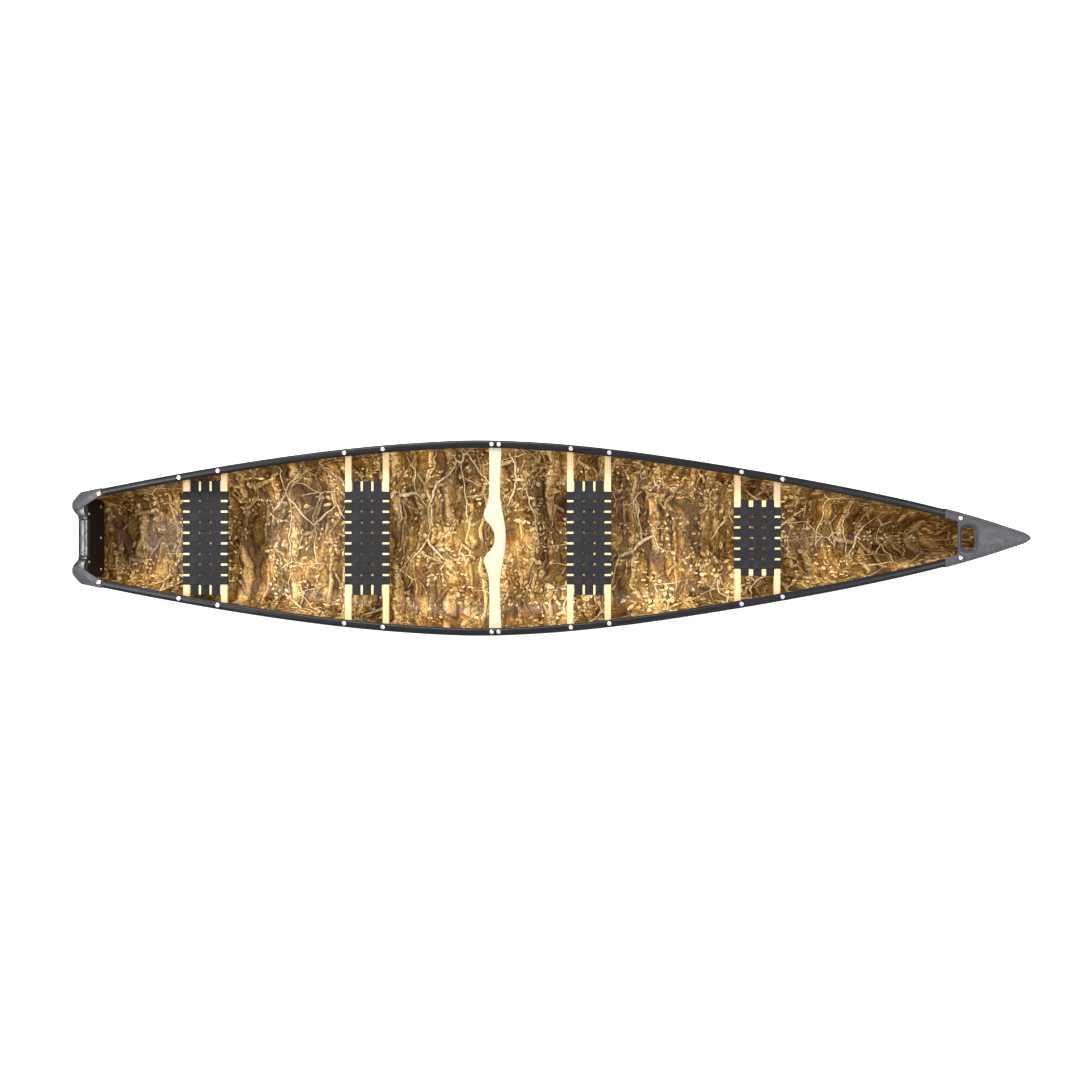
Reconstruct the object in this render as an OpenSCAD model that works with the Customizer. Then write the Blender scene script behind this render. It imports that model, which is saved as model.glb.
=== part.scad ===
// Square-stern canoe with hung webbing seats, a carrying yoke and a motor transom.
// X runs forward to the bow, Y to port, Z up; the hull bottom amidships is at Z 0.

/* [Hull] */
// Length over all, from the stern corner caps to the bow deck tip
length_overall = 5180; // [5000:10:5400]
// Widest beam over the gunwales
beam_overall = 1083; // [1040:1:1140]
// Height of the gunwale top amidships
depth_centre = 405; // [390:1:450]
// How far the gunwale top climbs towards the bow tip
bow_rise = 175; // [140:1:190]
// How far the gunwale top climbs towards the transom
stern_rise = 40; // [25:1:55]
// Thickness of the moulded hull skin
skin = 6; // [5:0.5:6.5]

/* [Gunwales] */
// Width of a gunwale across its top
gunwale_w = 41; // [39:0.5:45]
// Depth of the gunwale's inner body
gunwale_h = 24; // [22:0.5:28]
// Thickness of the lip outside the skin
lip_t = 4.8; // [4:0.1:5.5]
// Depth of the lip outside the skin
lip_h = 28; // [22:0.5:32]
// Distance of the bolt line in from the outer edge
bolt_line = 22.5; // [21:0.5:25]

/* [Seats and yoke] */
// Width of a seat rail, fore and aft
rail_w = 36; // [30:0.5:40]
// Thickness of a seat rail
rail_t = 19; // [16:0.5:24]
// Drop from the gunwale top to the seat rail top
seat_drop = 105; // [90:1:130]
// Distance between the rails of the three wide seats
seat_span = 212; // [208:1:220]
// Distance between the rails of the bow seat
bow_seat_span = 222; // [218:1:230]
// Width of the webbing
web_w = 48; // [42:0.5:49]
// Thickness of the webbing
web_t = 1.6; // [1:0.1:1.8]
// Thickness of the yoke
yoke_t = 20; // [16:0.5:24]

/* [Transom] */
// Thickness of the inside transom board
inner_board_t = 22; // [18:0.5:24]
// Thickness of the outside transom board
outer_board_t = 20; // [16:0.5:22]
// Depth of the inside transom board
inner_board_h = 192; // [180:1:200]

/* [Hidden] */

hull_green = [0.38, 0.35, 0.22];
vinyl = [0.22, 0.23, 0.25];
moulded = [0.3, 0.31, 0.33];
ash = [0.86, 0.76, 0.58];
webbing = [0.13, 0.13, 0.16];
steel = [0.78, 0.79, 0.8];
alloy = [0.68, 0.7, 0.72];
painted_board = [0.16, 0.16, 0.17];

stretch = length_overall / 5180;
widen = beam_overall / 1083;

// Table of offsets: station, half breadth at the outer edge of the gunwale.
offsets = [
    [-2590, 240], [-2100, 338.5], [-1600, 425.5], [-1100, 493], [-700, 528], [-380, 541.3], [0, 527.5],
    [400, 488.5], [850, 423.5], [1300, 346], [1700, 267], [2050, 185.5], [2300, 116], [2590, 16]
];
// Station, squareness of the hull section: high is a flat floor with a tight bilge.
squareness = [
    [-2590, 3.3], [-1800, 3.8], [-1000, 4.3], [200, 4.2], [900, 3.2], [1400, 2.5], [2000, 1.9], [2590, 1.6]
];

sheer_low = -300 * stretch;
stern_x = -2535 * stretch;
stem_x = 2575 * stretch;
stem_foot = 2020 * stretch;
tip_x = 2590 * stretch;
stem_curve = 2.2;
gunwale_aft = -2424 * stretch;
gunwale_fore = 2250 * stretch;
gunwale_steps = 44;
section_steps = 12;
cover = 6;
fit = 0.2;
slot_in = lip_t + 2 * fit + skin;
corner_side = 22;
corner_floor = 40;

function spline_slope(t, i) =
    i == 0 ? (t[1].y - t[0].y) / (t[1].x - t[0].x)
    : i == len(t) - 1 ? (t[i].y - t[i - 1].y) / (t[i].x - t[i - 1].x)
    : let (p = t[i].x - t[i - 1].x, q = t[i + 1].x - t[i].x)
        ((t[i].y - t[i - 1].y) * q / p + (t[i + 1].y - t[i].y) * p / q) / (p + q);
function spline(t, x) =
    let (i = max([for (k = [0 : len(t) - 2]) if (k == 0 || x >= t[k].x) k]))
    let (h = t[i + 1].x - t[i].x, u = (x - t[i].x) / h)
    t[i].y * (2 * u ^ 3 - 3 * u ^ 2 + 1) + t[i + 1].y * (3 * u ^ 2 - 2 * u ^ 3)
    + h * spline_slope(t, i) * (u ^ 3 - 2 * u ^ 2 + u) + h * spline_slope(t, i + 1) * (u ^ 3 - u ^ 2);

// Quarter-round of radius r that closes a shape over the last r before the end.
function tuck(gap, r) = r - sqrt(r ^ 2 - max(0, min(r, r - gap)) ^ 2);

tip_round = 40 * stretch;
function edge_raw(x) = widen * spline(offsets, x / stretch);
// Quarter-ellipse factor: 1 until r before the end, then down to 0 at the end.
function blunt(x, end, r) = x > end - r ? sqrt(max(0, 1 - ((x - end + r) / r) ^ 2)) : 1;
function edge(x) = edge_raw(x) * blunt(x, tip_x, tip_round);
function lean(x) = sqrt(1 + ((edge_raw(x + 5) - edge_raw(x - 5)) / 10) ^ 2);
// Half breadth at a distance w in from the outer edge of the gunwale.
function inboard(x, w) = edge_raw(x) - w * lean(x);
function sheer(x) = depth_centre + (x < sheer_low
    ? stern_rise * ((sheer_low - x) / (2235 * stretch)) ^ 2
    : bow_rise * ((x - sheer_low) / (2885 * stretch)) ^ 2.6);
function sheer_tilt(x) = abs(sheer(x + 5) - sheer(x - 5)) / 10;
stern_lift = 40;
bow_lift = 14;
// Rise of the keel line towards both ends.
function rocker(x) =
    stern_lift * max(0, (-1500 - x / stretch) / 1035) ^ 2
    + bow_lift * max(0, (x / stretch - 1200) / 1375) ^ 2;
function stem_rise(x) =
    1 - (1 - max(0, min(1, (x - stem_foot) / (stem_x - stem_foot))) ^ stem_curve) ^ (1 / stem_curve);
function stem_station(rise) =
    stem_foot + (stem_x - stem_foot) * (1 - (1 - rise) ^ stem_curve) ^ (1 / stem_curve);

stem_first = stem_rise(gunwale_fore);
stem_last = 0.93;
stem_steps = 9;
stem_wall = 40;
stem_round = 60;
stern_gaps = [0, 3, 10, 22, 40];
stern_gaps_in = [0, 2.5, 8.5, 17, 34];

stations_out = concat(
    [for (g = stern_gaps) stern_x + g],
    [for (i = [0 : gunwale_steps]) gunwale_aft + (gunwale_fore - gunwale_aft) * i / gunwale_steps],
    [for (k = [1 : stem_steps]) stem_station(stem_first + (stem_last - stem_first) * k / stem_steps)]
);
stations_in = [
    for (i = [0 : len(stations_out) - 1])
        let (x = stations_out[i])
        i < len(stern_gaps) ? stern_x + skin + stern_gaps_in[i]
        : x > gunwale_fore ? gunwale_fore + (x - gunwale_fore) * (1 - stem_wall / (stem_x - gunwale_fore))
        : x
];

function stem_taper(x, end) =
    x > end - stem_round ? sqrt(max(0.0004, 1 - ((x - end + stem_round) / stem_round) ^ 2)) : 1;
function half_out(x) = (inboard(x, lip_t + fit) - tuck(x - stern_x, corner_side)) * stem_taper(x, stem_x);
function half_in(x) =
    (inboard(x, lip_t + fit + skin) - tuck(x - stern_x - skin, corner_side - skin))
    * stem_taper(x, stem_x - stem_wall);
function floor_out(x) =
    rocker(x) + (sheer(x) - cover - rocker(x)) * stem_rise(x) + tuck(x - stern_x, corner_floor);
function floor_in(x_out, x) =
    x < gunwale_aft ? rocker(x) + skin + tuck(x - stern_x - skin, corner_floor - skin)
    : floor_out(x_out) + skin;

// One hull section, starboard rim to port rim, as a superellipse hung from the rim.
flat_floor = 0.6;
function section(x, half, low) =
    let (n = spline(squareness, x / stretch), top = sheer(x) - cover, h = top - low)
    [
        for (j = [-section_steps : section_steps])
            let (a = abs(j) * 90 / section_steps)
            let (r = (sin(a) ^ n + cos(a) ^ n) ^ (-1 / n), d = h * (1 - r * cos(a)))
            [x, sign(j) * half * r * sin(a), low + (d < flat_floor ? 0 : d)]
    ];

module hull() {
    m = 2 * section_steps;
    w = m + 1;
    n = len(stations_out);
    q = n * w;
    outer = [for (x = stations_out) each section(x, half_out(x), floor_out(x))];
    inner = [
        for (i = [0 : n - 1])
            each section(stations_in[i], half_in(stations_in[i]), floor_in(stations_out[i], stations_in[i]))
    ];
    skins = [
        for (i = [0 : n - 2], j = [0 : m - 1])
            let (a = i * w + j)
            each [
                [a, a + w, a + w + 1], [a, a + w + 1, a + 1],
                [q + a, q + a + w + 1, q + a + w], [q + a, q + a + 1, q + a + w + 1]
            ]
    ];
    rims = [
        for (i = [0 : n - 2])
            let (s = i * w, p = i * w + m)
            each [
                [p, p + w, q + p + w], [p, q + p + w, q + p],
                [q + s, q + s + w, s + w], [q + s, s + w, s]
            ]
    ];
    e = (n - 1) * w;
    ends = [
        [for (j = [0 : m]) j], [for (j = [m : -1 : 0]) q + j],
        [for (j = [m : -1 : 0]) e + j], [for (j = [0 : m]) q + e + j],
        [m, q + m, q, 0], [q + e + m, e + m, e, q + e]
    ];
    color(hull_green) difference() {
        polyhedron(points = concat(outer, inner), faces = concat(skins, rims, ends), convexity = 6);
        transom_bores(bolt_bore, skin + 2, stern_x - 1);
    }
}

// Sweeps a profile of [distance in from the outer edge, height over the sheer] along one side.
// pieces splits the profile into convex parts that close the two ends.
module side_sweep(profile, pieces, xs, side) {
    k = len(profile);
    n = len(xs);
    points = [for (x = xs, p = profile) [x, side * inboard(x, p.x), sheer(x) + p.y]];
    walls = [
        for (i = [0 : n - 2], j = [0 : k - 1])
            let (a = i * k + j, b = i * k + (j + 1) % k)
            each [[a, a + k, b + k], [a, b + k, b]]
    ];
    aft = pieces;
    fore = [for (f = pieces) [for (j = [len(f) - 1 : -1 : 0]) (n - 1) * k + f[j]]];
    faces = concat(walls, aft, fore);
    polyhedron(
        points = points,
        faces = side > 0 ? faces : [for (f = faces) [for (j = [len(f) - 1 : -1 : 0]) f[j]]],
        convexity = 6
    );
}

channel_out = slot_in + lip_t;
channel_in = gunwale_w - 4;
gunwale_profile = [
    [0, -lip_h], [0, -3], [3, 0], [gunwale_w - 3, 0], [gunwale_w, -3], [gunwale_w, -gunwale_h],
    [channel_in, -gunwale_h], [channel_in, -cover + fit],
    [channel_out, -cover + fit], [channel_out, -gunwale_h],
    [slot_in, -gunwale_h], [slot_in, -cover + fit], [lip_t, -cover + fit], [lip_t, -lip_h]
];
gunwale_pieces = [
    [0, 1, 12, 13], [1, 2, 12], [2, 3, 7], [2, 7, 8], [2, 8, 11], [2, 11, 12],
    [3, 4, 7], [4, 5, 6, 7], [8, 9, 10, 11]
];
gunwale_stations = [for (x = stations_out) if (x > gunwale_aft - 1 && x < gunwale_fore + 1) x];

// Seat: station of its middle, rail distance, number of long straps, pitch of the cross straps,
// width of the end bars.
large_bar = 56;
bow_bar = 37;
long_pitch = 59.5;
seats = [
    [-1906 * stretch, seat_span, 9, 60, large_bar],
    [-1000 * stretch, seat_span, 9, 60, large_bar],
    [251.5 * stretch, seat_span, 9, 60, large_bar],
    [1194 * stretch, bow_seat_span, 6, 72.5, bow_bar]
];
yoke_x = -273 * stretch;
yoke_bolt_gap = 39.2;
seat_bolt_xs = [for (s = seats, e = [-1, 1]) s[0] + e * s[1] / 2];
yoke_bolt_xs = [for (e = [-1, 1]) yoke_x + e * yoke_bolt_gap / 2];
bolt_xs = concat(seat_bolt_xs, yoke_bolt_xs);

bolt_d = 6;
bolt_bore = 6.8;
deck_screw_x = 2238 * stretch;
deck_screw_in = 27;
deck_screw_d = 4;
deck_screw_y = inboard(deck_screw_x, deck_screw_in);
screw_bore = deck_screw_d + 0.8;

module gunwale_body(side) {
    color(vinyl) difference() {
        side_sweep(gunwale_profile, gunwale_pieces, gunwale_stations, side);
        for (x = bolt_xs)
            translate([x, side * inboard(x, bolt_line), sheer(x) - cover - 3])
                cylinder(h = cover + 6, d = bolt_bore, $fn = 24);
        translate([deck_screw_x, side * deck_screw_y, sheer(deck_screw_x) - cover - 3])
            cylinder(h = cover + 6, d = screw_bore, $fn = 24);
    }
}

stiff_out = channel_out + fit;
stiff_in = channel_in - fit;
stiff_top = -cover - fit;
stiff_bottom = -gunwale_h + 0.5;
stiff_wall = 3;
stiffener_profile = [
    [stiff_out, stiff_bottom], [stiff_out, stiff_top], [stiff_in, stiff_top], [stiff_in, stiff_bottom],
    [stiff_in - stiff_wall, stiff_bottom], [stiff_in - stiff_wall, stiff_top - stiff_wall],
    [stiff_out + stiff_wall, stiff_top - stiff_wall], [stiff_out + stiff_wall, stiff_bottom]
];
stiffener_pieces = [[0, 1, 6, 7], [1, 2, 5, 6], [2, 3, 4, 5]];

module stiffener(side) {
    color(alloy) difference() {
        side_sweep(
            stiffener_profile, stiffener_pieces,
            [for (x = gunwale_stations) if (x < deck_screw_x - 20) x], side
        );
        for (x = bolt_xs)
            translate([x, side * inboard(x, bolt_line), sheer(x) - cover - 8])
                cylinder(h = 10, d = bolt_bore, $fn = 24);
    }
}

// Bow deck: a lid over the stem and the gunwale ends, with a hand hole.
deck_aft = 2160 * stretch;
deck_body = 2225 * stretch;
deck_hole_x = 2277 * stretch;
deck_hole = [66, 122];
deck_hole_round = 22;
deck_rim = [98, 152];
deck_rim_round = 35;
deck_rim_h = 3;
deck_out = 3;
deck_top = 4.5;
deck_field = 2.5;
deck_skirt = 24;
deck_crown = 5;
deck_station_list = [
    2160, 2205, 2240, 2275, 2310, 2350, 2400, 2450, 2500, 2535, 2557, 2572, 2582, 2587, 2589.5
];
deck_stations = [for (s = deck_station_list) s * stretch];
screw_pad_d = 27;
screw_pad_z = deck_top + 2.2;

// Half of the deck's top line at a station, from the outer edge to the middle: [half breadth, height].
function deck_line(x) =
    let (b = edge(x) + deck_out * edge(x) / edge_raw(x))
    let (k = min(1, b / 40), crown = deck_crown * min(1, b / 120))
    [
        [b, deck_top - 2], [b - 2 * k, deck_top], [b - 15 * k, deck_top], [b - 18 * k, deck_field],
        [b * 0.45, deck_field + crown * 0.7]
    ];
function deck_section(x) =
    let (half = deck_line(x), n = len(half), mid = [0, deck_field + deck_crown * min(1, half[0].x / 120)])
    let (top = concat(half, [mid], [for (i = [n - 1 : -1 : 0]) [-half[i].x, half[i].y]]))
    concat([for (p = top) [x, p.x, sheer(x) + p.y]], [for (p = top) [x, p.x, sheer(x) - deck_skirt]]);

module deck_blank() {
    t = 11;
    k = 2 * t;
    n = len(deck_stations);
    points = [for (x = deck_stations) each deck_section(x)];
    tops = [
        for (i = [0 : n - 2], j = [0 : t - 2])
            let (a = i * k + j)
            each [[a, a + 1, a + k + 1], [a, a + k + 1, a + k]]
    ];
    unders = [
        for (i = [0 : n - 2], j = [0 : t - 2])
            let (a = i * k + t + j)
            each [[a, a + k + 1, a + 1], [a, a + k, a + k + 1]]
    ];
    sides = [
        for (i = [0 : n - 2])
            let (a = i * k, b = i * k + t - 1)
            each [
                [a, a + k, a + k + t], [a, a + k + t, a + t],
                [b, b + t + k, b + k], [b, b + t, b + t + k]
            ]
    ];
    e = (n - 1) * k;
    caps = [
        for (j = [0 : t - 2])
            each [[j, j + t, j + t + 1, j + 1], [e + j, e + j + 1, e + j + t + 1, e + j + t]]
    ];
    polyhedron(
        points = points,
        faces = [for (f = concat(tops, unders, sides, caps)) [for (j = [len(f) - 1 : -1 : 0]) f[j]]],
        convexity = 4
    );
}

// A block under the deck between two distances in from the edge, or between the two sides.
module deck_pocket(xs, left, right, top) {
    n = len(xs);
    points = [
        for (i = [0 : n - 1])
            each [
                [xs[i], left[i], sheer(xs[i]) - deck_skirt - 20],
                [xs[i], right[i], sheer(xs[i]) - deck_skirt - 20],
                [xs[i], right[i], sheer(xs[i]) + top], [xs[i], left[i], sheer(xs[i]) + top]
            ]
    ];
    walls = [
        for (i = [0 : n - 2], j = [0 : 3])
            let (a = i * 4 + j, b = i * 4 + (j + 1) % 4)
            each [[a, a + 4, b + 4], [a, b + 4, b]]
    ];
    ends = [[0, 1, 2, 3], [for (j = [3 : -1 : 0]) (n - 1) * 4 + j]];
    polyhedron(points = points, faces = concat(walls, ends), convexity = 4);
}

// An upright block with rounded corners.
module rounded_block(size, r, h) {
    for (a = [-1, 1], b = [-1, 1])
        translate([a * (size.x / 2 - r), b * (size.y / 2 - r), 0]) cylinder(h = h, r = r, $fn = 48);
    translate([-size.x / 2, -size.y / 2 + r, 0]) cube([size.x, size.y - 2 * r, h]);
    translate([-size.x / 2 + r, -size.y / 2, 0]) cube([size.x - 2 * r, size.y, h]);
}

deck_tilt = atan((sheer(deck_hole_x + 5) - sheer(deck_hole_x - 5)) / 10);
sleeve_end = gunwale_fore + 2;

module bow_deck_plate() {
    last_bay = gunwale_aft + (gunwale_fore - gunwale_aft) * (1 - 1 / gunwale_steps);
    sleeve = [deck_aft - 12, last_bay, sleeve_end];
    lid_middle = [for (x = deck_stations) if (x > sleeve_end + 5 && x < stem_x - 30) x];
    lid = concat([sleeve_end - 1], lid_middle, [stem_x - 12, stem_x + 2]);
    lid_half = [for (x = lid) max(4, inboard(x, lip_t - 0.5))];
    near_edge = [for (x = sleeve) inboard(x, -0.5)];
    far_edge = [for (x = sleeve) inboard(x, gunwale_w + 0.5)];
    inner_edge = gunwale_w + 0.5 + deck_out;
    mouth_half = inboard(deck_aft - 20, inner_edge);
    body_half = inboard(deck_body, inner_edge);
    color(moulded) difference() {
        union() {
            deck_blank();
            translate([deck_hole_x, 0, sheer(deck_hole_x) + deck_field]) rotate([0, -deck_tilt, 0])
                rounded_block(deck_rim, deck_rim_round, deck_crown + deck_rim_h);
            for (e = [-1, 1])
                translate([deck_screw_x, e * deck_screw_y, sheer(deck_screw_x) + 1])
                    cylinder(h = screw_pad_z - 1, d = screw_pad_d, $fn = 40);
        }
        deck_pocket(sleeve, far_edge, near_edge, 0.4);
        deck_pocket(sleeve, -near_edge, -far_edge, 0.4);
        deck_pocket(lid, -lid_half, lid_half, -cover + 1);
        translate([0, 0, sheer(deck_aft) - 60])
            linear_extrude(height = 120)
                polygon([
                    [deck_aft - 20, mouth_half], [deck_body, body_half],
                    [deck_body, -body_half], [deck_aft - 20, -mouth_half]
                ]);
        translate([deck_hole_x, 0, sheer(deck_hole_x) - 60]) rounded_block(deck_hole, deck_hole_round, 120);
        for (e = [-1, 1])
            translate([deck_screw_x, e * deck_screw_y, sheer(deck_screw_x) - 20])
                cylinder(h = 40, d = screw_bore, $fn = 24);
    }
}

// A countersunk screw whose head sits in a cup washer.
module cup_screw(d, length) {
    rotate_extrude($fn = 32)
        polygon([
            [0, -length], [d / 2, -length], [d / 2, 1.4], [4.4, 1.5],
            [7.4, 3.2], [6.6, 3.6], [3.5, 4.4], [0, 4.7]
        ]);
}

module cup_washer() {
    rotate_extrude($fn = 40)
        polygon([[3.5, 0], [12, 0], [12, 0.8], [9.6, 3], [8.2, 3], [5, 1.2], [3.5, 1.2]]);
}

deck_screw_seat = sheer(deck_screw_x) + screw_pad_z + 0.1;

module deck_screws() {
    color(steel)
        for (e = [-1, 1])
            translate([deck_screw_x, e * deck_screw_y, deck_screw_seat]) cup_screw(deck_screw_d, 16);
}

// Stern corner caps: a plate with a skirt round the outside corner of the transom, and a collar
// at the end of the cap rail.
cap_top = sheer(stern_x) + 4;
cap_plate = 4;
cap_skirt_z = sheer(stern_x) - 34;
cap_fore = gunwale_aft - 4;
cap_end = -2589.5 * stretch;
cap_corner = -2540 * stretch;
collar_half = 102;
collar_fore = -2504 * stretch;
cap_outer = [
    [cap_fore, edge_raw(cap_fore) + 3], [cap_corner, edge_raw(cap_corner) + 3], [cap_end + 38, 243 * widen],
    [cap_end + 8, 207 * widen], [cap_end, 194 * widen], [cap_end, 162 * widen],
    [cap_end + 6, 149 * widen], [cap_end + 25, 127 * widen], [cap_end + 34, 117 * widen],
    [cap_end + 34, collar_half]
];
cap_inner = [
    [collar_fore, collar_half], [collar_fore, 117 * widen], [-2521 * stretch, 138 * widen],
    [-2521 * stretch, 176 * widen], [-2459 * stretch, 214 * widen], [cap_fore, inboard(cap_fore, gunwale_w)]
];
cap_pocket = [
    [cap_fore + 1, edge_raw(cap_fore) - 1], [cap_corner, edge_raw(cap_corner) - 1],
    [cap_end + 40, 238 * widen], [cap_end + 12, 204 * widen], [cap_end + 4, 192 * widen],
    [cap_end + 4, 162 * widen], [cap_end - 5, 156 * widen], [cap_end - 5, 90], [cap_fore + 1, 90]
];
cap_screw = [-2441 * stretch, inboard(-2441 * stretch, 28)];

module stern_cap(side) {
    color(moulded) difference() {
        translate([0, 0, cap_skirt_z])
            linear_extrude(height = cap_top - cap_skirt_z)
                polygon([for (p = concat(cap_outer, cap_inner)) [p.x, side * p.y]]);
        translate([0, 0, cap_skirt_z - 1])
            linear_extrude(height = cap_top - cap_plate - cap_skirt_z + 1)
                polygon([for (p = cap_pocket) [p.x, side * p.y]]);
        translate([cap_screw.x, side * cap_screw.y, cap_skirt_z])
            cylinder(h = 60, d = screw_bore, $fn = 24);
    }
}

module stern_cap_screws() {
    color(steel)
        for (e = [-1, 1])
            translate([cap_screw.x, e * cap_screw.y, cap_top + 0.1]) cup_screw(deck_screw_d, 16);
}

// Transom: the skin is clamped between two boards under a cap rail.
board_top = sheer(stern_x) - cover;
board_fit = 0.3;
upper_bolt = [131, -16];
lower_bolt = [177, -151];
transom_bolt_yz = [
    [-upper_bolt.x, upper_bolt.y], [upper_bolt.x, upper_bolt.y],
    [-lower_bolt.x, lower_bolt.y], [0, lower_bolt.y], [lower_bolt.x, lower_bolt.y]
];
inner_face = stern_x + skin + board_fit + inner_board_t;
outer_face = stern_x - board_fit - outer_board_t;
nut_recess = 9;

module transom_bores(d, length, from) {
    for (p = transom_bolt_yz)
        translate([from, p.x * widen, board_top + p.y]) rotate([0, 90, 0])
            cylinder(h = length, d = d, $fn = 24);
}

// A board in the transom plane from an outline of [half breadth, height below the top].
module board(half_outline, from, thick) {
    mirrored = [for (i = [len(half_outline) - 1 : -1 : 0]) [-half_outline[i].x, half_outline[i].y]];
    outline = concat(half_outline, mirrored);
    translate([from, 0, board_top]) rotate([90, 0, 90])
        linear_extrude(height = thick) polygon(outline);
}

module transom_board_inner() {
    color(painted_board) difference() {
        board(
            [[218 * widen, 0], [218 * widen, -130], [212 * widen, -160], [196 * widen, -inner_board_h]],
            stern_x + skin + board_fit, inner_board_t
        );
        transom_bores(bolt_bore, inner_board_t + 4, stern_x + skin - 1);
    }
}

rail_wall = 6;
rail_drop = 13;
rail_half = collar_half - 0.5;

module transom_board_outer() {
    color(painted_board) difference() {
        board(
            [
                [146 * widen, 0], [146 * widen, -42], [206 * widen, -42], [206 * widen, -150],
                [196 * widen, -178], [180 * widen, -190]
            ],
            outer_face, outer_board_t
        );
        transom_bores(bolt_bore, outer_board_t + 4, outer_face - 2);
        transom_bores(18, nut_recess + 1, outer_face - 1);
        translate([outer_face - 1, -rail_half - 1, board_top - rail_drop - 0.5])
            cube([rail_wall + 1.3, 2 * rail_half + 2, rail_drop + 2]);
    }
}

module transom_cap_rail() {
    z = board_top + 0.3;
    top = board_top + 10;
    aft = outer_face;
    fore = inner_face + rail_wall + 0.3;
    color(moulded)
        translate([0, rail_half, 0]) rotate([90, 0, 0])
            linear_extrude(height = 2 * rail_half)
                polygon([
                    [aft, z - rail_drop], [aft, top - 4], [aft + 4, top], [aft + 34, top],
                    [aft + 36, top - 2], [aft + 39, top - 2], [aft + 41, top],
                    [fore - 4, top], [fore, top - 4], [fore, z - rail_drop],
                    [fore - rail_wall, z - rail_drop], [fore - rail_wall, z],
                    [aft + rail_wall, z], [aft + rail_wall, z - rail_drop]
                ]);
}

module transom_bolts() {
    shank = inner_face - outer_face - 2;
    color(steel)
        for (p = transom_bolt_yz)
            translate([inner_face + 0.1, p.x * widen, board_top + p.y]) rotate([0, 90, 0])
                rotate_extrude($fn = 32)
                    polygon([
                        [0, -shank], [bolt_d / 2, -shank], [bolt_d / 2, 0], [9, 0], [9, 1.2], [7, 1.4],
                        [6.6, 2.6], [4.5, 3.9], [0, 4.6]
                    ]);
}

module hex_nut(d, flats, h) {
    difference() {
        cylinder(h = h, d = flats / cos(30), $fn = 6);
        translate([0, 0, -1]) cylinder(h = h + 2, d = d + 0.4, $fn = 24);
    }
}

nut_h = 5.5;
nut_flats = 10;
washer_t = 1.4;

module transom_nuts() {
    color(steel)
        for (p = transom_bolt_yz)
            translate([outer_face + nut_recess - nut_h - 0.2, p.x * widen, board_top + p.y])
                rotate([0, 90, 0]) hex_nut(bolt_d, nut_flats, nut_h);
}

// Fasteners through the gunwales: screw, cup washer on top, flat washer and nut below.
bolt_past = 10;
function head_z(x) = sheer(x) + 12 * sheer_tilt(x) + 0.1;
function seat_top(i) = sheer(seats[i][0]) - seat_drop;

module at_bolt(x, side, z) {
    translate([x, side * inboard(x, bolt_line), z]) children();
}

module cup_washers() {
    color(steel) {
        for (x = bolt_xs, e = [-1, 1])
            at_bolt(x, e, head_z(x)) cup_washer();
        for (e = [-1, 1]) {
            translate([deck_screw_x, e * deck_screw_y, deck_screw_seat]) cup_washer();
            translate([cap_screw.x, e * cap_screw.y, cap_top + 0.1]) cup_washer();
        }
    }
}

module flat_washer() {
    difference() {
        cylinder(h = washer_t, d = 16, $fn = 32);
        translate([0, 0, -1]) cylinder(h = 4, d = bolt_bore, $fn = 24);
    }
}

module seat_bolts() {
    color(steel)
        for (i = [0 : 3], k = [-1, 1], e = [-1, 1])
            let (x = seats[i][0] + k * seats[i][1] / 2)
                at_bolt(x, e, head_z(x)) cup_screw(bolt_d, head_z(x) - seat_top(i) + rail_t + bolt_past);
}

module seat_washers() {
    color(steel)
        for (i = [0 : 3], k = [-1, 1], e = [-1, 1])
            at_bolt(seats[i][0] + k * seats[i][1] / 2, e, seat_top(i) - rail_t - washer_t - 0.1)
                flat_washer();
}

module seat_nuts() {
    color(steel)
        for (i = [0 : 3], k = [-1, 1], e = [-1, 1])
            at_bolt(seats[i][0] + k * seats[i][1] / 2, e, seat_top(i) - rail_t - washer_t - 0.2 - nut_h)
                hex_nut(bolt_d, nut_flats, nut_h);
}

yoke_top = sheer(yoke_x) - gunwale_h - 0.5;

module yoke_bolts() {
    color(steel)
        for (x = yoke_bolt_xs, e = [-1, 1])
            at_bolt(x, e, head_z(x)) cup_screw(bolt_d, head_z(x) - yoke_top + yoke_t + bolt_past);
}

module yoke_washers() {
    color(steel)
        for (x = yoke_bolt_xs, e = [-1, 1])
            at_bolt(x, e, yoke_top - yoke_t - washer_t - 0.1) flat_washer();
}

module yoke_nuts() {
    color(steel)
        for (x = yoke_bolt_xs, e = [-1, 1])
            at_bolt(x, e, yoke_top - yoke_t - washer_t - 0.2 - nut_h) hex_nut(bolt_d, nut_flats, nut_h);
}

// Yoke outline: distance out from the middle, distance fore or aft of the yoke's centre line.
yoke_fore = [[0, 59], [78, 53], [120, 45], [177, 34.5], [227, 27.5], [300, 27], [520, 35]];
yoke_aft = [
    [0, 4.5], [28, 7], [55, 19], [73, 32], [95, 53], [115, 64],
    [134, 65], [161, 56], [191, 45], [236, 37], [295, 34.5], [520, 35]
];
yoke_step = 14;

module yoke() {
    half = inboard(yoke_x, slot_in + 2.5);
    side = concat([for (y = [0 : yoke_step : half - 10]) y], [half]);
    n = len(side);
    ys = concat([for (i = [n - 1 : -1 : 1]) -side[i]], side);
    fore = [for (y = ys) [spline(yoke_fore, abs(y)), y]];
    aft = [for (y = ys) [-spline(yoke_aft, abs(y)), -y]];
    color(ash) difference() {
        translate([yoke_x, 0, yoke_top - yoke_t])
            linear_extrude(height = yoke_t) polygon(concat(fore, aft));
        for (x = yoke_bolt_xs, e = [-1, 1])
            at_bolt(x, e, yoke_top - yoke_t - 1) cylinder(h = yoke_t + 2, d = bolt_bore, $fn = 24);
    }
}

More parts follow.
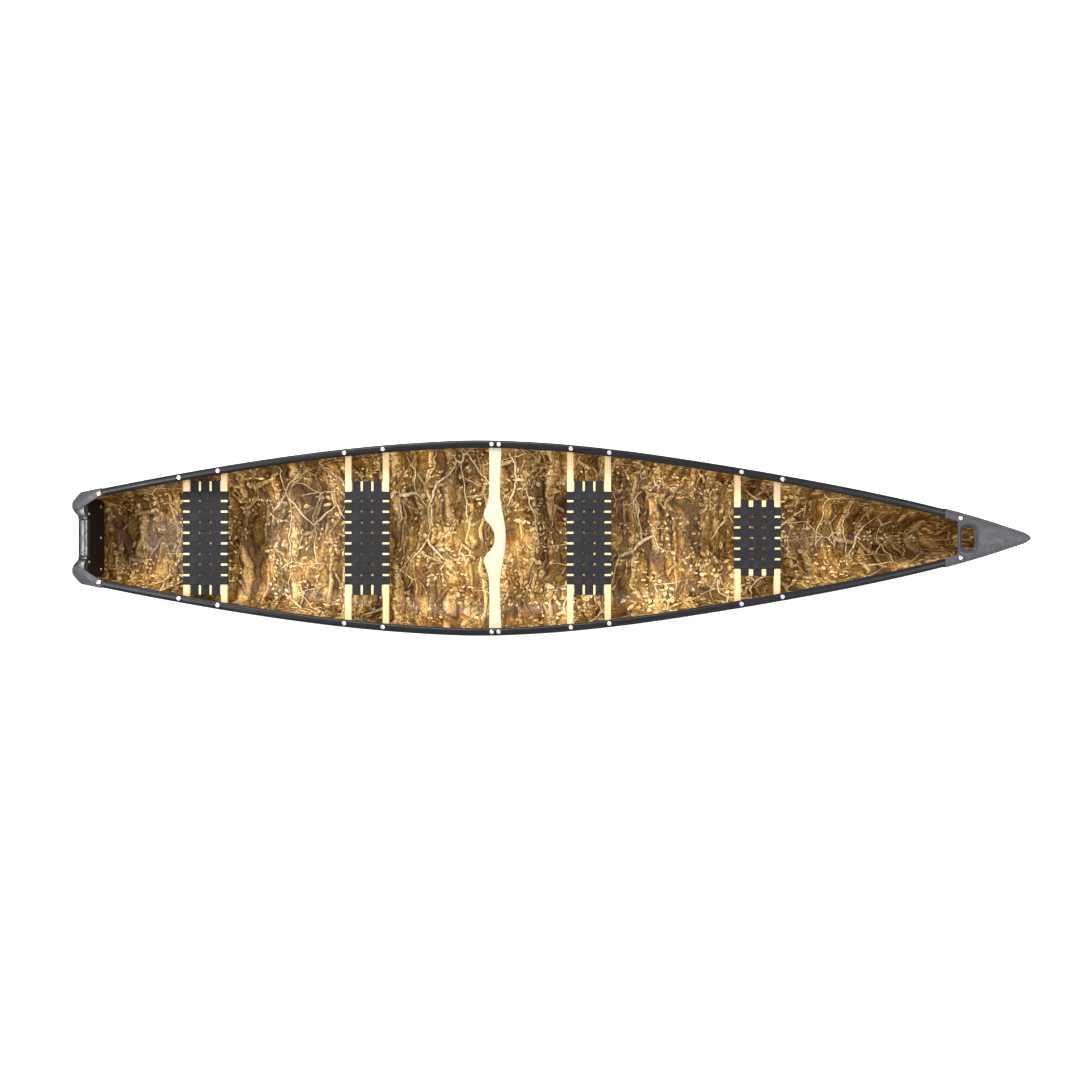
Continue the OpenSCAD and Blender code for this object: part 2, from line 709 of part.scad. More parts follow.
// Half breadth of the hull's inside at a station and height.
function inside(x, z) =
    let (n = spline(squareness, x / stretch), top = sheer(x) - cover, h = top - floor_in(x, x))
    half_in(x) * (1 - max(0, (top - z) / h) ^ n) ^ (1 / n);

module rail(i, end) {
    s = seats[i];
    x = s[0] + end * s[1] / 2;
    z = seat_top(i) - rail_t;
    a = x - rail_w / 2;
    b = x + rail_w / 2;
    ya = inside(a, z) - 1.5;
    yb = inside(b, z) - 1.5;
    color(ash) difference() {
        translate([0, 0, z])
            linear_extrude(height = rail_t) polygon([[a, -ya], [b, -yb], [b, yb], [a, ya]]);
        for (e = [-1, 1])
            at_bolt(x, e, z - 1) cylinder(h = rail_t + 2, d = bolt_bore, $fn = 24);
    }
}

function long_half(i) = ((seats[i][2] - 1) * long_pitch + web_w) / 2;
bar_sink = 2;

module end_bar(i, side) {
    s = seats[i];
    reach = s[1] - rail_w - 0.4;
    y = long_half(i) + 1.5;
    color(ash)
        translate([s[0] - reach / 2, side > 0 ? y : -y - s[4], seat_top(i) - rail_t])
            cube([reach, s[4], rail_t - bar_sink]);
}

drop_d = 25;

module drops(i) {
    s = seats[i];
    color(ash)
        for (k = [-1, 1], e = [-1, 1])
            let (x = s[0] + k * s[1] / 2)
            let (h = sheer(x) - gunwale_h - 0.5 - drop_d / 2 * sheer_tilt(x) - seat_top(i) - 0.1)
                at_bolt(x, e, seat_top(i) + 0.1)
                    difference() {
                        cylinder(h = h, d = drop_d, $fn = 32);
                        translate([0, 0, -1]) cylinder(h = h + 2, d = bolt_bore, $fn = 24);
                    }
}

web_fit = 0.1;
web_under = 28;

// Long straps run fore and aft over both rails and fold back under them.
module web_long(i) {
    s = seats[i];
    x = s[1] / 2 + rail_w / 2 + 0.3;
    top = web_fit + web_t;
    low = -rail_t - 0.3;
    fold = x - web_under;
    outline = [
        [fold, low], [x, low], [x, web_fit], [-x, web_fit], [-x, low], [-fold, low],
        [-fold, low - web_t], [-x - web_t, low - web_t], [-x - web_t, top - 1], [-x - web_t + 1, top],
        [x + web_t - 1, top], [x + web_t, top - 1], [x + web_t, low - web_t],
        [fold, low - web_t]
    ];
    color(webbing)
        for (k = [0 : s[2] - 1])
            translate([s[0], (k - (s[2] - 1) / 2) * long_pitch + web_w / 2, seat_top(i)]) rotate([90, 0, 0])
                linear_extrude(height = web_w) polygon(outline);
}

// Cross straps weave over and under the long ones and fold round the end bars.
web_gap = 0.3;
function weave_top(i, j) =
    let (n = seats[i][2], y0 = -(n - 1) / 2 * long_pitch)
    let (over = web_fit + 2 * web_t + web_gap, under = web_fit - web_gap)
    [
        for (k = [0 : n - 1])
            let (up = (k + j) % 2 == 0, y = y0 + k * long_pitch)
            let (z = up ? over : under, lead = k == 0 && up ? 2 : 1.5)
            each [[y - web_w / 2 - lead, z], [y + web_w / 2 + lead, z]]
    ];

module web_cross(i) {
    s = seats[i];
    y = long_half(i) + 1.5 + s[4] + 0.3;
    bar_top = -bar_sink + 0.1 + web_t;
    low = -rail_t - 0.3;
    fold = y - web_under;
    lift = long_half(i) + 12;
    color(webbing)
        for (j = [-1 : 1]) {
            line = concat([[-lift, bar_top]], weave_top(i, j + 1), [[lift, bar_top]]);
            under = [for (k = [len(line) - 1 : -1 : 0]) [line[k].x, line[k].y - web_t]];
            translate([s[0] + s[3] * j - web_w / 2, 0, seat_top(i)]) rotate([90, 0, 90])
                linear_extrude(height = web_w)
                    polygon(concat(
                        [[-fold, low - web_t], [-y - web_t, low - web_t]],
                        [[-y - web_t, bar_top - 1], [-y - web_t + 1, bar_top]],
                        line,
                        [[y + web_t - 1, bar_top], [y + web_t, bar_top - 1]],
                        [[y + web_t, low - web_t], [fold, low - web_t]],
                        [[fold, low], [y, low], [y, bar_top - web_t]],
                        under,
                        [[-y, bar_top - web_t], [-y, low], [-fold, low]]
                    ));
        }
}

module gunwale_port() { gunwale_body(1); }
module gunwale_starboard() { gunwale_body(-1); }
module stiffener_port() { stiffener(1); }
module stiffener_starboard() { stiffener(-1); }
module stern_cap_port() { stern_cap(1); }
module stern_cap_starboard() { stern_cap(-1); }
module stern_seat_rail_aft() { rail(0, -1); }
module stern_seat_rail_fore() { rail(0, 1); }
module stern_seat_bar_port() { end_bar(0, 1); }
module stern_seat_bar_starboard() { end_bar(0, -1); }
module stern_seat_drops() { drops(0); }
module stern_seat_web_long() { web_long(0); }
module stern_seat_web_cross() { web_cross(0); }
module aft_seat_rail_aft() { rail(1, -1); }
module aft_seat_rail_fore() { rail(1, 1); }
module aft_seat_bar_port() { end_bar(1, 1); }
module aft_seat_bar_starboard() { end_bar(1, -1); }
module aft_seat_drops() { drops(1); }
module aft_seat_web_long() { web_long(1); }
module aft_seat_web_cross() { web_cross(1); }
module centre_seat_rail_aft() { rail(2, -1); }
module centre_seat_rail_fore() { rail(2, 1); }
module centre_seat_bar_port() { end_bar(2, 1); }
module centre_seat_bar_starboard() { end_bar(2, -1); }
module centre_seat_drops() { drops(2); }
module centre_seat_web_long() { web_long(2); }
module centre_seat_web_cross() { web_cross(2); }
module bow_seat_rail_aft() { rail(3, -1); }
module bow_seat_rail_fore() { rail(3, 1); }
module bow_seat_bar_port() { end_bar(3, 1); }
module bow_seat_bar_starboard() { end_bar(3, -1); }
module bow_seat_drops() { drops(3); }
module bow_seat_web_long() { web_long(3); }
module bow_seat_web_cross() { web_cross(3); }

hull();
gunwale_port();
gunwale_starboard();
stiffener_port();
stiffener_starboard();
bow_deck_plate();
deck_screws();
stern_cap_port();
stern_cap_starboard();
stern_cap_screws();
transom_cap_rail();
transom_board_inner();
transom_board_outer();
transom_bolts();
transom_nuts();
yoke();
yoke_bolts();
yoke_washers();
yoke_nuts();
cup_washers();
seat_bolts();
seat_washers();
seat_nuts();
stern_seat_rail_aft();
stern_seat_rail_fore();
stern_seat_bar_port();
stern_seat_bar_starboard();
stern_seat_drops();
stern_seat_web_long();
stern_seat_web_cross();
aft_seat_rail_aft();
aft_seat_rail_fore();
aft_seat_bar_port();
aft_seat_bar_starboard();
aft_seat_drops();
aft_seat_web_long();
aft_seat_web_cross();
centre_seat_rail_aft();
centre_seat_rail_fore();
centre_seat_bar_port();
centre_seat_bar_starboard();
centre_seat_drops();
centre_seat_web_long();
centre_seat_web_cross();
bow_seat_rail_aft();
bow_seat_rail_fore();
bow_seat_bar_port();
bow_seat_bar_starboard();
bow_seat_drops();
bow_seat_web_long();
bow_seat_web_cross();
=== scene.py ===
"""Looks of the square-stern canoe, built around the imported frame. Lengths are millimetres until make()."""
import math
import bmesh
import bpy
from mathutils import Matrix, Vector


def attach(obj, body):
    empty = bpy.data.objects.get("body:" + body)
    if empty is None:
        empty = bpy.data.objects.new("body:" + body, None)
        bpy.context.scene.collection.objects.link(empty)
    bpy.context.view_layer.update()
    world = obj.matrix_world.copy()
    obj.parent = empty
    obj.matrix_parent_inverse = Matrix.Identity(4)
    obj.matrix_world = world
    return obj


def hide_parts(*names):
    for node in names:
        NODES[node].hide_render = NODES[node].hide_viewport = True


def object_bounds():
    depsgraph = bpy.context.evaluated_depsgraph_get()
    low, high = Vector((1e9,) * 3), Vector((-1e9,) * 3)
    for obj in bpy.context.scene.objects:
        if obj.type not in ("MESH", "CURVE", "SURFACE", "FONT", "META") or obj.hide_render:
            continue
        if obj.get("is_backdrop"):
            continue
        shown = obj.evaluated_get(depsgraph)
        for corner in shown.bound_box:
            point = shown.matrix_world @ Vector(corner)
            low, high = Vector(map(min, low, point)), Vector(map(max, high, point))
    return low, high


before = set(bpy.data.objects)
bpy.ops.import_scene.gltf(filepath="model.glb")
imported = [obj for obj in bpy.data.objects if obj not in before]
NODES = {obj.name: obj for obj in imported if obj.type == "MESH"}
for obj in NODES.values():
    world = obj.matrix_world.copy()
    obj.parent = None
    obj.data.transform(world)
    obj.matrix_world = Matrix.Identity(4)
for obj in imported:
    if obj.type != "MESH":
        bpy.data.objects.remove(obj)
cad_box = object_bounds()
MM = 0.001


# ---------------------------------------------------------------- hull lines, as in the CAD
OFFSETS = [(-2590, 240), (-2100, 338.5), (-1600, 425.5), (-1100, 493), (-700, 528), (-380, 541.3),
           (0, 527.5), (400, 488.5), (850, 423.5), (1300, 346), (1700, 267), (2050, 185.5),
           (2300, 116), (2590, 16)]
SQUARENESS = [(-2590, 3.3), (-1800, 3.8), (-1000, 4.3), (200, 4.2), (900, 3.2), (1400, 2.5),
              (2000, 1.9), (2590, 1.6)]
SKIN = 6
STERN_X, STEM_X, STEM_FOOT, TIP_X = -2535, 2575, 2020, 2590
GUNWALE_AFT, GUNWALE_FORE = -2424, 2250
GUNWALE_W, GUNWALE_H, LIP_T, LIP_H = 41, 24, 4.8, 28
COVER, FIT, BOLT_LINE = 6, 0.2, 22.5
STEM_CURVE, STEM_WALL, STEM_ROUND = 2.2, 40, 60
CORNER_SIDE, CORNER_FLOOR = 22, 40
SHEER_LOW, DEPTH, BOW_RISE, STERN_RISE = -300, 405, 175, 40
SHEER_AFT_RUN, SHEER_FORE_RUN, SHEER_CURVE = 2235, 2885, 2.6
STERN_LIFT, STERN_LIFT_AT, STERN_LIFT_RUN = 40, -1500, 1035
BOW_LIFT, BOW_LIFT_AT, BOW_LIFT_RUN = 14, 1200, 1375
TIP_ROUND, PROBE = 40, 5


def spline(t, x):
    """A smooth curve through the (x, value) pairs of t."""
    def slope(i):
        if i == 0:
            return (t[1][1] - t[0][1]) / (t[1][0] - t[0][0])
        if i == len(t) - 1:
            return (t[i][1] - t[i - 1][1]) / (t[i][0] - t[i - 1][0])
        p, q = t[i][0] - t[i - 1][0], t[i + 1][0] - t[i][0]
        return ((t[i][1] - t[i - 1][1]) * q / p + (t[i + 1][1] - t[i][1]) * p / q) / (p + q)
    i = max(k for k in range(len(t) - 1) if k == 0 or x >= t[k][0])
    h = t[i + 1][0] - t[i][0]
    u = (x - t[i][0]) / h
    return (t[i][1] * (2 * u**3 - 3 * u**2 + 1) + t[i + 1][1] * (3 * u**2 - 2 * u**3)
            + h * slope(i) * (u**3 - 2 * u**2 + u) + h * slope(i + 1) * (u**3 - u**2))


def tuck(gap, r):
    """How far a corner of radius r pulls in at this gap from its face."""
    return r - math.sqrt(r * r - max(0, min(r, r - gap)) ** 2)


def edge_raw(x):
    return spline(OFFSETS, x)


def edge(x):
    gone = (x - TIP_X + TIP_ROUND) / TIP_ROUND
    return edge_raw(x) * (math.sqrt(max(0, 1 - gone * gone)) if gone > 0 else 1)


def inboard(x, w):
    """Half width of the line that runs w inside the outer edge, measured square to it."""
    slant = (edge_raw(x + PROBE) - edge_raw(x - PROBE)) / (2 * PROBE)
    return edge_raw(x) - w * math.sqrt(1 + slant ** 2)


def sheer(x):
    if x < SHEER_LOW:
        return DEPTH + STERN_RISE * ((SHEER_LOW - x) / SHEER_AFT_RUN) ** 2
    return DEPTH + BOW_RISE * ((x - SHEER_LOW) / SHEER_FORE_RUN) ** SHEER_CURVE


def tilt(x):
    return abs(sheer(x + PROBE) - sheer(x - PROBE)) / (2 * PROBE)


def rocker(x):
    return (STERN_LIFT * max(0, (STERN_LIFT_AT - x) / STERN_LIFT_RUN) ** 2
            + BOW_LIFT * max(0, (x - BOW_LIFT_AT) / BOW_LIFT_RUN) ** 2)


def stem_rise(x):
    k = max(0, min(1, (x - STEM_FOOT) / (STEM_X - STEM_FOOT)))
    return 1 - (1 - k**STEM_CURVE) ** (1 / STEM_CURVE)


def stem_station(rise):
    return STEM_FOOT + (STEM_X - STEM_FOOT) * (1 - (1 - rise) ** STEM_CURVE) ** (1 / STEM_CURVE)


def stem_taper(x, end):
    gone = (x - end + STEM_ROUND) / STEM_ROUND
    return math.sqrt(max(0.0004, 1 - gone * gone)) if gone > 0 else 1


def half_out(x):
    return (inboard(x, LIP_T + FIT) - tuck(x - STERN_X, CORNER_SIDE)) * stem_taper(x, STEM_X)


def half_in(x):
    side = inboard(x, LIP_T + FIT + SKIN) - tuck(x - STERN_X - SKIN, CORNER_SIDE - SKIN)
    return side * stem_taper(x, STEM_X - STEM_WALL)


def floor_out(x):
    low = rocker(x)
    return low + (sheer(x) - COVER - low) * stem_rise(x) + tuck(x - STERN_X, CORNER_FLOOR)


def floor_in(x_out, x):
    if x < GUNWALE_AFT:
        return rocker(x) + SKIN + tuck(x - STERN_X - SKIN, CORNER_FLOOR - SKIN)
    return floor_out(x_out) + SKIN


def inside(x, z):
    """Half width inside the skin at height z."""
    n, top = spline(SQUARENESS, x), sheer(x) - COVER
    return half_in(x) * (1 - max(0, (top - z) / (top - floor_in(x, x))) ** n) ** (1 / n)


def section(x, half, low, steps):
    """The U of the hull at x, from one edge under the floor to the other."""
    n, h = spline(SQUARENESS, x), sheer(x) - COVER - low
    ring = []
    for j in range(-steps, steps + 1):
        a = abs(j) * math.pi / 2 / steps
        r = (math.sin(a) ** n + max(0, math.cos(a)) ** n) ** (-1 / n)
        d = h * (1 - r * math.cos(a))
        ring.append((x, math.copysign(half * r * math.sin(a), j), low + (0 if d < 0.6 else d)))
    return ring


# ---------------------------------------------------------------- meshes
SHARP = 35


def face_outwards(mesh):
    bm = bmesh.new()
    bm.from_mesh(mesh)
    bmesh.ops.recalc_face_normals(bm, faces=bm.faces)
    bm.to_mesh(mesh)
    bm.free()


def make(name, verts, faces, mat, slot, nodes=(), uv=None, sharp=SHARP, bevel=0):
    """One visual piece in the scene, riding root and standing in for its CAD nodes."""
    mesh = bpy.data.meshes.new(name)
    mesh.from_pydata([Vector(v) * MM for v in verts], [], faces)
    if uv:
        layer = mesh.uv_layers.new(name="cloth")
        for loop in mesh.loops:
            layer.data[loop.index].uv = uv[loop.vertex_index]
    face_outwards(mesh)
    mesh.shade_smooth()
    mesh.set_sharp_from_angle(angle=math.radians(sharp))
    obj = bpy.data.objects.new(name, mesh)
    bpy.context.collection.objects.link(obj)
    mesh.materials.append(mat)
    if bevel:
        add_bevel(obj, bevel)
    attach(obj, "root")
    if nodes:
        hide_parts(*nodes)
    return obj


def add_bevel(obj, width, segments=3, angle=40):
    mod = obj.modifiers.new("edges", "BEVEL")
    mod.width, mod.segments = width * MM, segments
    mod.limit_method, mod.angle_limit = "ANGLE", math.radians(angle)
    mod.harden_normals = True


class Shape:
    """Gathers rings of points into closed solids, which then become one piece."""

    def __init__(self):
        self.verts, self.faces, self.uv = [], [], []

    def loft(self, rings, uvs=None, cap=True):
        """Joins rings of equal length, and closes both ends if cap is set."""
        start, k = len(self.verts), len(rings[0])
        for i, ring in enumerate(rings):
            self.verts += ring
            self.uv += uvs[i] if uvs else [(0, 0)] * k
        for i in range(len(rings) - 1):
            a = start + i * k
            for j in range(k):
                b = (j + 1) % k
                self.faces.append((a + j, a + b, a + k + b, a + k + j))
        if cap:
            last = start + (len(rings) - 1) * k
            self.faces += [tuple(range(start, start + k)), tuple(range(last, last + k))]

    def lathe(self, profile, place, n=40):
        """profile is a closed loop of (radius, height); place turns (x, y, z) into the frame."""
        rings = []
        for i in range(n):
            a = 2 * math.pi * i / n
            rings.append([place(r * math.cos(a), r * math.sin(a), z) for r, z in profile])
        self.loft(rings + [rings[0]], cap=False)

    def piece(self, name, mat, slot, nodes=(), **how):
        return make(name, self.verts, self.faces, mat, slot, nodes, uv=self.uv, **how)


def offset(outline, d):
    """Moves a counter-clockwise outline inwards by d."""
    out, n = [], len(outline)
    for i in range(n):
        p, c, q = (Vector(outline[k]) for k in ((i - 1) % n, i, (i + 1) % n))
        a, b = (c - p).normalized(), (q - c).normalized()
        na, nb = Vector((-a.y, a.x)), Vector((-b.y, b.x))
        m = (na + nb).normalized()
        out.append(tuple(c + m * d / max(0.35, m.dot(na))))
    return out


def fillet(points, r, steps=5):
    """Rounds the corners of an outline."""
    out, n = [], len(points)
    for i in range(n):
        p, c, q = (Vector(points[k]) for k in ((i - 1) % n, i, (i + 1) % n))
        a, b = p - c, q - c
        cut = min(r, a.length * 0.45, b.length * 0.45)
        s, e = c + a.normalized() * cut, c + b.normalized() * cut
        for k in range(steps + 1):
            t = k / steps
            out.append(tuple(s * (1 - t) ** 2 + c * 2 * t * (1 - t) + e * t * t))
    return out


def slab(shape, outline, z0, z1, r, low_r=None, steps=4, strip=False):
    """A plate with rounded edges. strip closes an outline that mirrors end to end with crosswise quads."""
    low_r = r if low_r is None else low_r
    rings = []
    for rr, z, up in ((low_r, z0 + low_r, -1), (r, z1 - r, 1)):
        for k in range(steps + 1):
            a = math.pi / 2 * (k if up > 0 else steps - k) / steps
            ring = offset(outline, rr * (1 - math.cos(a)))
            rings.append([(x, y, z + up * rr * math.sin(a)) for x, y in ring])
    low = len(shape.verts)
    shape.loft(rings, cap=not strip)
    if strip:
        n = len(outline)
        high = len(shape.verts) - n
        for i in range(n // 2 - 1):
            quad = (i, i + 1, n - 2 - i, n - 1 - i)
            shape.faces.append(tuple(high + k for k in quad))
            shape.faces.append(tuple(low + k for k in quad[::-1]))


def cut(obj, cutter_shape):
    """Takes a solid out of a piece for good."""
    mesh = bpy.data.meshes.new("cutter")
    mesh.from_pydata([Vector(v) * MM for v in cutter_shape.verts], [], cutter_shape.faces)
    face_outwards(mesh)
    tool = bpy.data.objects.new("cutter", mesh)
    bpy.context.collection.objects.link(tool)
    mod = obj.modifiers.new("cut", "BOOLEAN")
    mod.operation, mod.solver, mod.object = "DIFFERENCE", "EXACT", tool
    bpy.context.view_layer.update()
    done = bpy.data.meshes.new_from_object(obj.evaluated_get(bpy.context.evaluated_depsgraph_get()))
    obj.modifiers.remove(mod)
    old, obj.data = obj.data, done
    bpy.data.meshes.remove(old)
    bpy.data.objects.remove(tool)
    done.shade_smooth()
    done.set_sharp_from_angle(angle=math.radians(SHARP))


# ---------------------------------------------------------------- node helpers
MIDDLE = (0.5, 0.5, 0.5)


class Paint:
    """One procedural material. Values given as sockets are linked, and plain ones are set."""

    def __init__(self, name, **plain):
        self.mat = bpy.data.materials.new(name)
        self.mat.use_nodes = True
        self.tree = self.mat.node_tree
        self.shader = self.tree.nodes["Principled BSDF"]
        for key, value in plain.items():
            self.shader.inputs[key.replace("_", " ")].default_value = value

    def node(self, kind, inputs=(), **props):
        n = self.tree.nodes.new("ShaderNode" + kind)
        for key, value in props.items():
            setattr(n, key, value)
        for key, value in dict(inputs).items():
            self.put(n.inputs[key], value)
        return n

    def put(self, socket, value):
        if isinstance(value, bpy.types.NodeSocket):
            self.tree.links.new(value, socket)
        else:
            socket.default_value = value

    def math(self, op, a, b=0.0):
        return self.node("Math", {0: a, 1: b}, operation=op).outputs[0]

    def mul(self, a, b):
        return self.math("MULTIPLY", a, b)

    def add(self, a, b):
        return self.math("ADD", a, b)

    def vec(self, op, a, b=(0, 0, 0)):
        n = self.node("VectorMath", {0: a, 1: b}, operation=op)
        return n.outputs["Value" if op in ("LENGTH", "DOT_PRODUCT") else "Vector"]

    def step(self, value, low, high, to_low=0.0, to_high=1.0):
        keys = {"Value": value, "From Min": low, "From Max": high, "To Min": to_low, "To Max": to_high}
        return self.node("MapRange", keys, interpolation_type="SMOOTHSTEP").outputs[0]

    def mix(self, fac, a, b, blend="MIX"):
        keys = {0: fac, 6: rgba(a), 7: rgba(b)}
        return self.node("Mix", keys, data_type="RGBA", blend_type=blend).outputs[2]

    def ramp(self, fac, stops):
        n = self.node("ValToRGB", {"Fac": fac})
        while len(n.color_ramp.elements) < len(stops):
            n.color_ramp.elements.new(0.5)
        for e, (at, colour) in zip(n.color_ramp.elements, stops):
            e.position, e.color = at, rgba(colour)
        return n.outputs["Color"]

    def noise(self, at, scale, detail=4.0, rough=0.5, out=0):
        keys = {"Vector": at, "Scale": scale, "Detail": detail, "Roughness": rough}
        return self.node("TexNoise", keys).outputs[out]

    def wander(self, at, scale, detail, reach):
        """A shift that drifts from place to place, by up to about half of reach."""
        return self.vec("MULTIPLY", self.vec("SUBTRACT", self.noise(at, scale, detail, out=1), MIDDLE), reach)

    def stretch(self, at, scale, turn=(0, 0, 0)):
        keys = {"Vector": at, "Scale": scale, "Rotation": turn}
        return self.node("Mapping", keys).outputs[0]

    def place(self):
        return self.node("TexCoord").outputs["Object"]

    def cloth(self):
        return self.node("UVMap", uv_map="cloth").outputs[0]

    def bump(self, height, strength, distance):
        keys = {"Height": height, "Strength": strength, "Distance": distance}
        self.put(self.shader.inputs["Normal"], self.node("Bump", keys).outputs[0])

    def wear(self):
        """High on outside edges, low in corners."""
        return self.node("NewGeometry").outputs["Pointiness"]

    def done(self, colour, rough=None):
        self.put(self.shader.inputs["Base Color"], colour)
        if rough is not None:
            self.put(self.shader.inputs["Roughness"], rough)
        return self.mat


def rgba(c):
    return c if isinstance(c, bpy.types.NodeSocket) or len(c) == 4 else (*c, 1)


def srgb(r, g, b):
    """A colour given in 0 to 255 steps, as the light it stands for."""
    return tuple((v / 255 / 12.92) if v < 10 else ((v / 255 + 0.055) / 1.055) ** 2.4 for v in (r, g, b))


# ---------------------------------------------------------------- materials
FULL_TURN = 6.283
DEEP_SHADE = srgb(28, 17, 8)
TREE_SPACING = 0.304


def leaves(p, at, scale, long, wide, seed, gate):
    """Scattered leaves: one to a cell, each turned its own way. Gives a mask, a shade and a random."""
    here = p.vec("ADD", at, (seed, seed * 1.7, 0))
    cell = p.node("TexVoronoi", {"Vector": here, "Scale": scale, "Randomness": 1.0},
                  voronoi_dimensions="2D")
    pick = p.node("SeparateColor", {0: cell.outputs["Color"]})
    away = p.vec("SUBTRACT", here, cell.outputs["Position"])
    keys = {"Vector": away, "Angle": p.mul(pick.outputs[0], FULL_TURN)}
    turned = p.node("VectorRotate", keys, rotation_type="Z_AXIS").outputs[0]
    parts = p.node("SeparateXYZ", {0: turned})
    x, y = parts.outputs[0], parts.outputs[1]
    # A leaf is widest in the middle and runs to a point at both ends.
    along = p.math("DIVIDE", x, long)
    room = p.math("SUBTRACT", 1.0, p.mul(along, along))
    ripple = p.mul(p.math("SUBTRACT", p.noise(here, scale * 7, 4, 0.7), 0.5), 1.5)
    across = p.math("ABSOLUTE", p.math("DIVIDE", y, wide))
    inside_leaf = p.math("SUBTRACT", p.add(room, ripple), across)
    chosen = p.step(p.noise(here, scale * 0.16, 2), gate, gate + 0.05)
    mask = p.mul(p.step(inside_leaf, 0.0, 0.12), chosen)
    rib = p.step(across, 0.03, 0.14, 0.62, 1.0)
    shade = p.mul(rib, p.step(p.math("DIVIDE", y, wide), -0.9, 0.9, 0.72, 1.2))
    halo = p.mul(p.step(inside_leaf, -0.55, 0.0), chosen)
    return mask, shade, pick.outputs[1], halo


def lines(p, at, scale, thick, gate, seed):
    """Twigs: a forking net of wavering lines, broken up. Gives a mask and a wider halo."""
    here = p.vec("ADD", at, (seed, seed * 0.6, 0))
    net = p.node("TexVoronoi", {"Vector": here, "Scale": scale, "Randomness": 1.0},
                 voronoi_dimensions="2D", feature="DISTANCE_TO_EDGE").outputs["Distance"]
    width = p.mul(p.noise(here, scale * 1.3, 2), thick * 2)
    keep = p.step(p.noise(here, scale * 0.55, 2), gate, gate + 0.08)
    near = p.math("DIVIDE", net, width)
    return p.mul(p.step(near, 1.0, 0.55), keep), p.mul(p.step(near, 2.6, 0.9), keep)


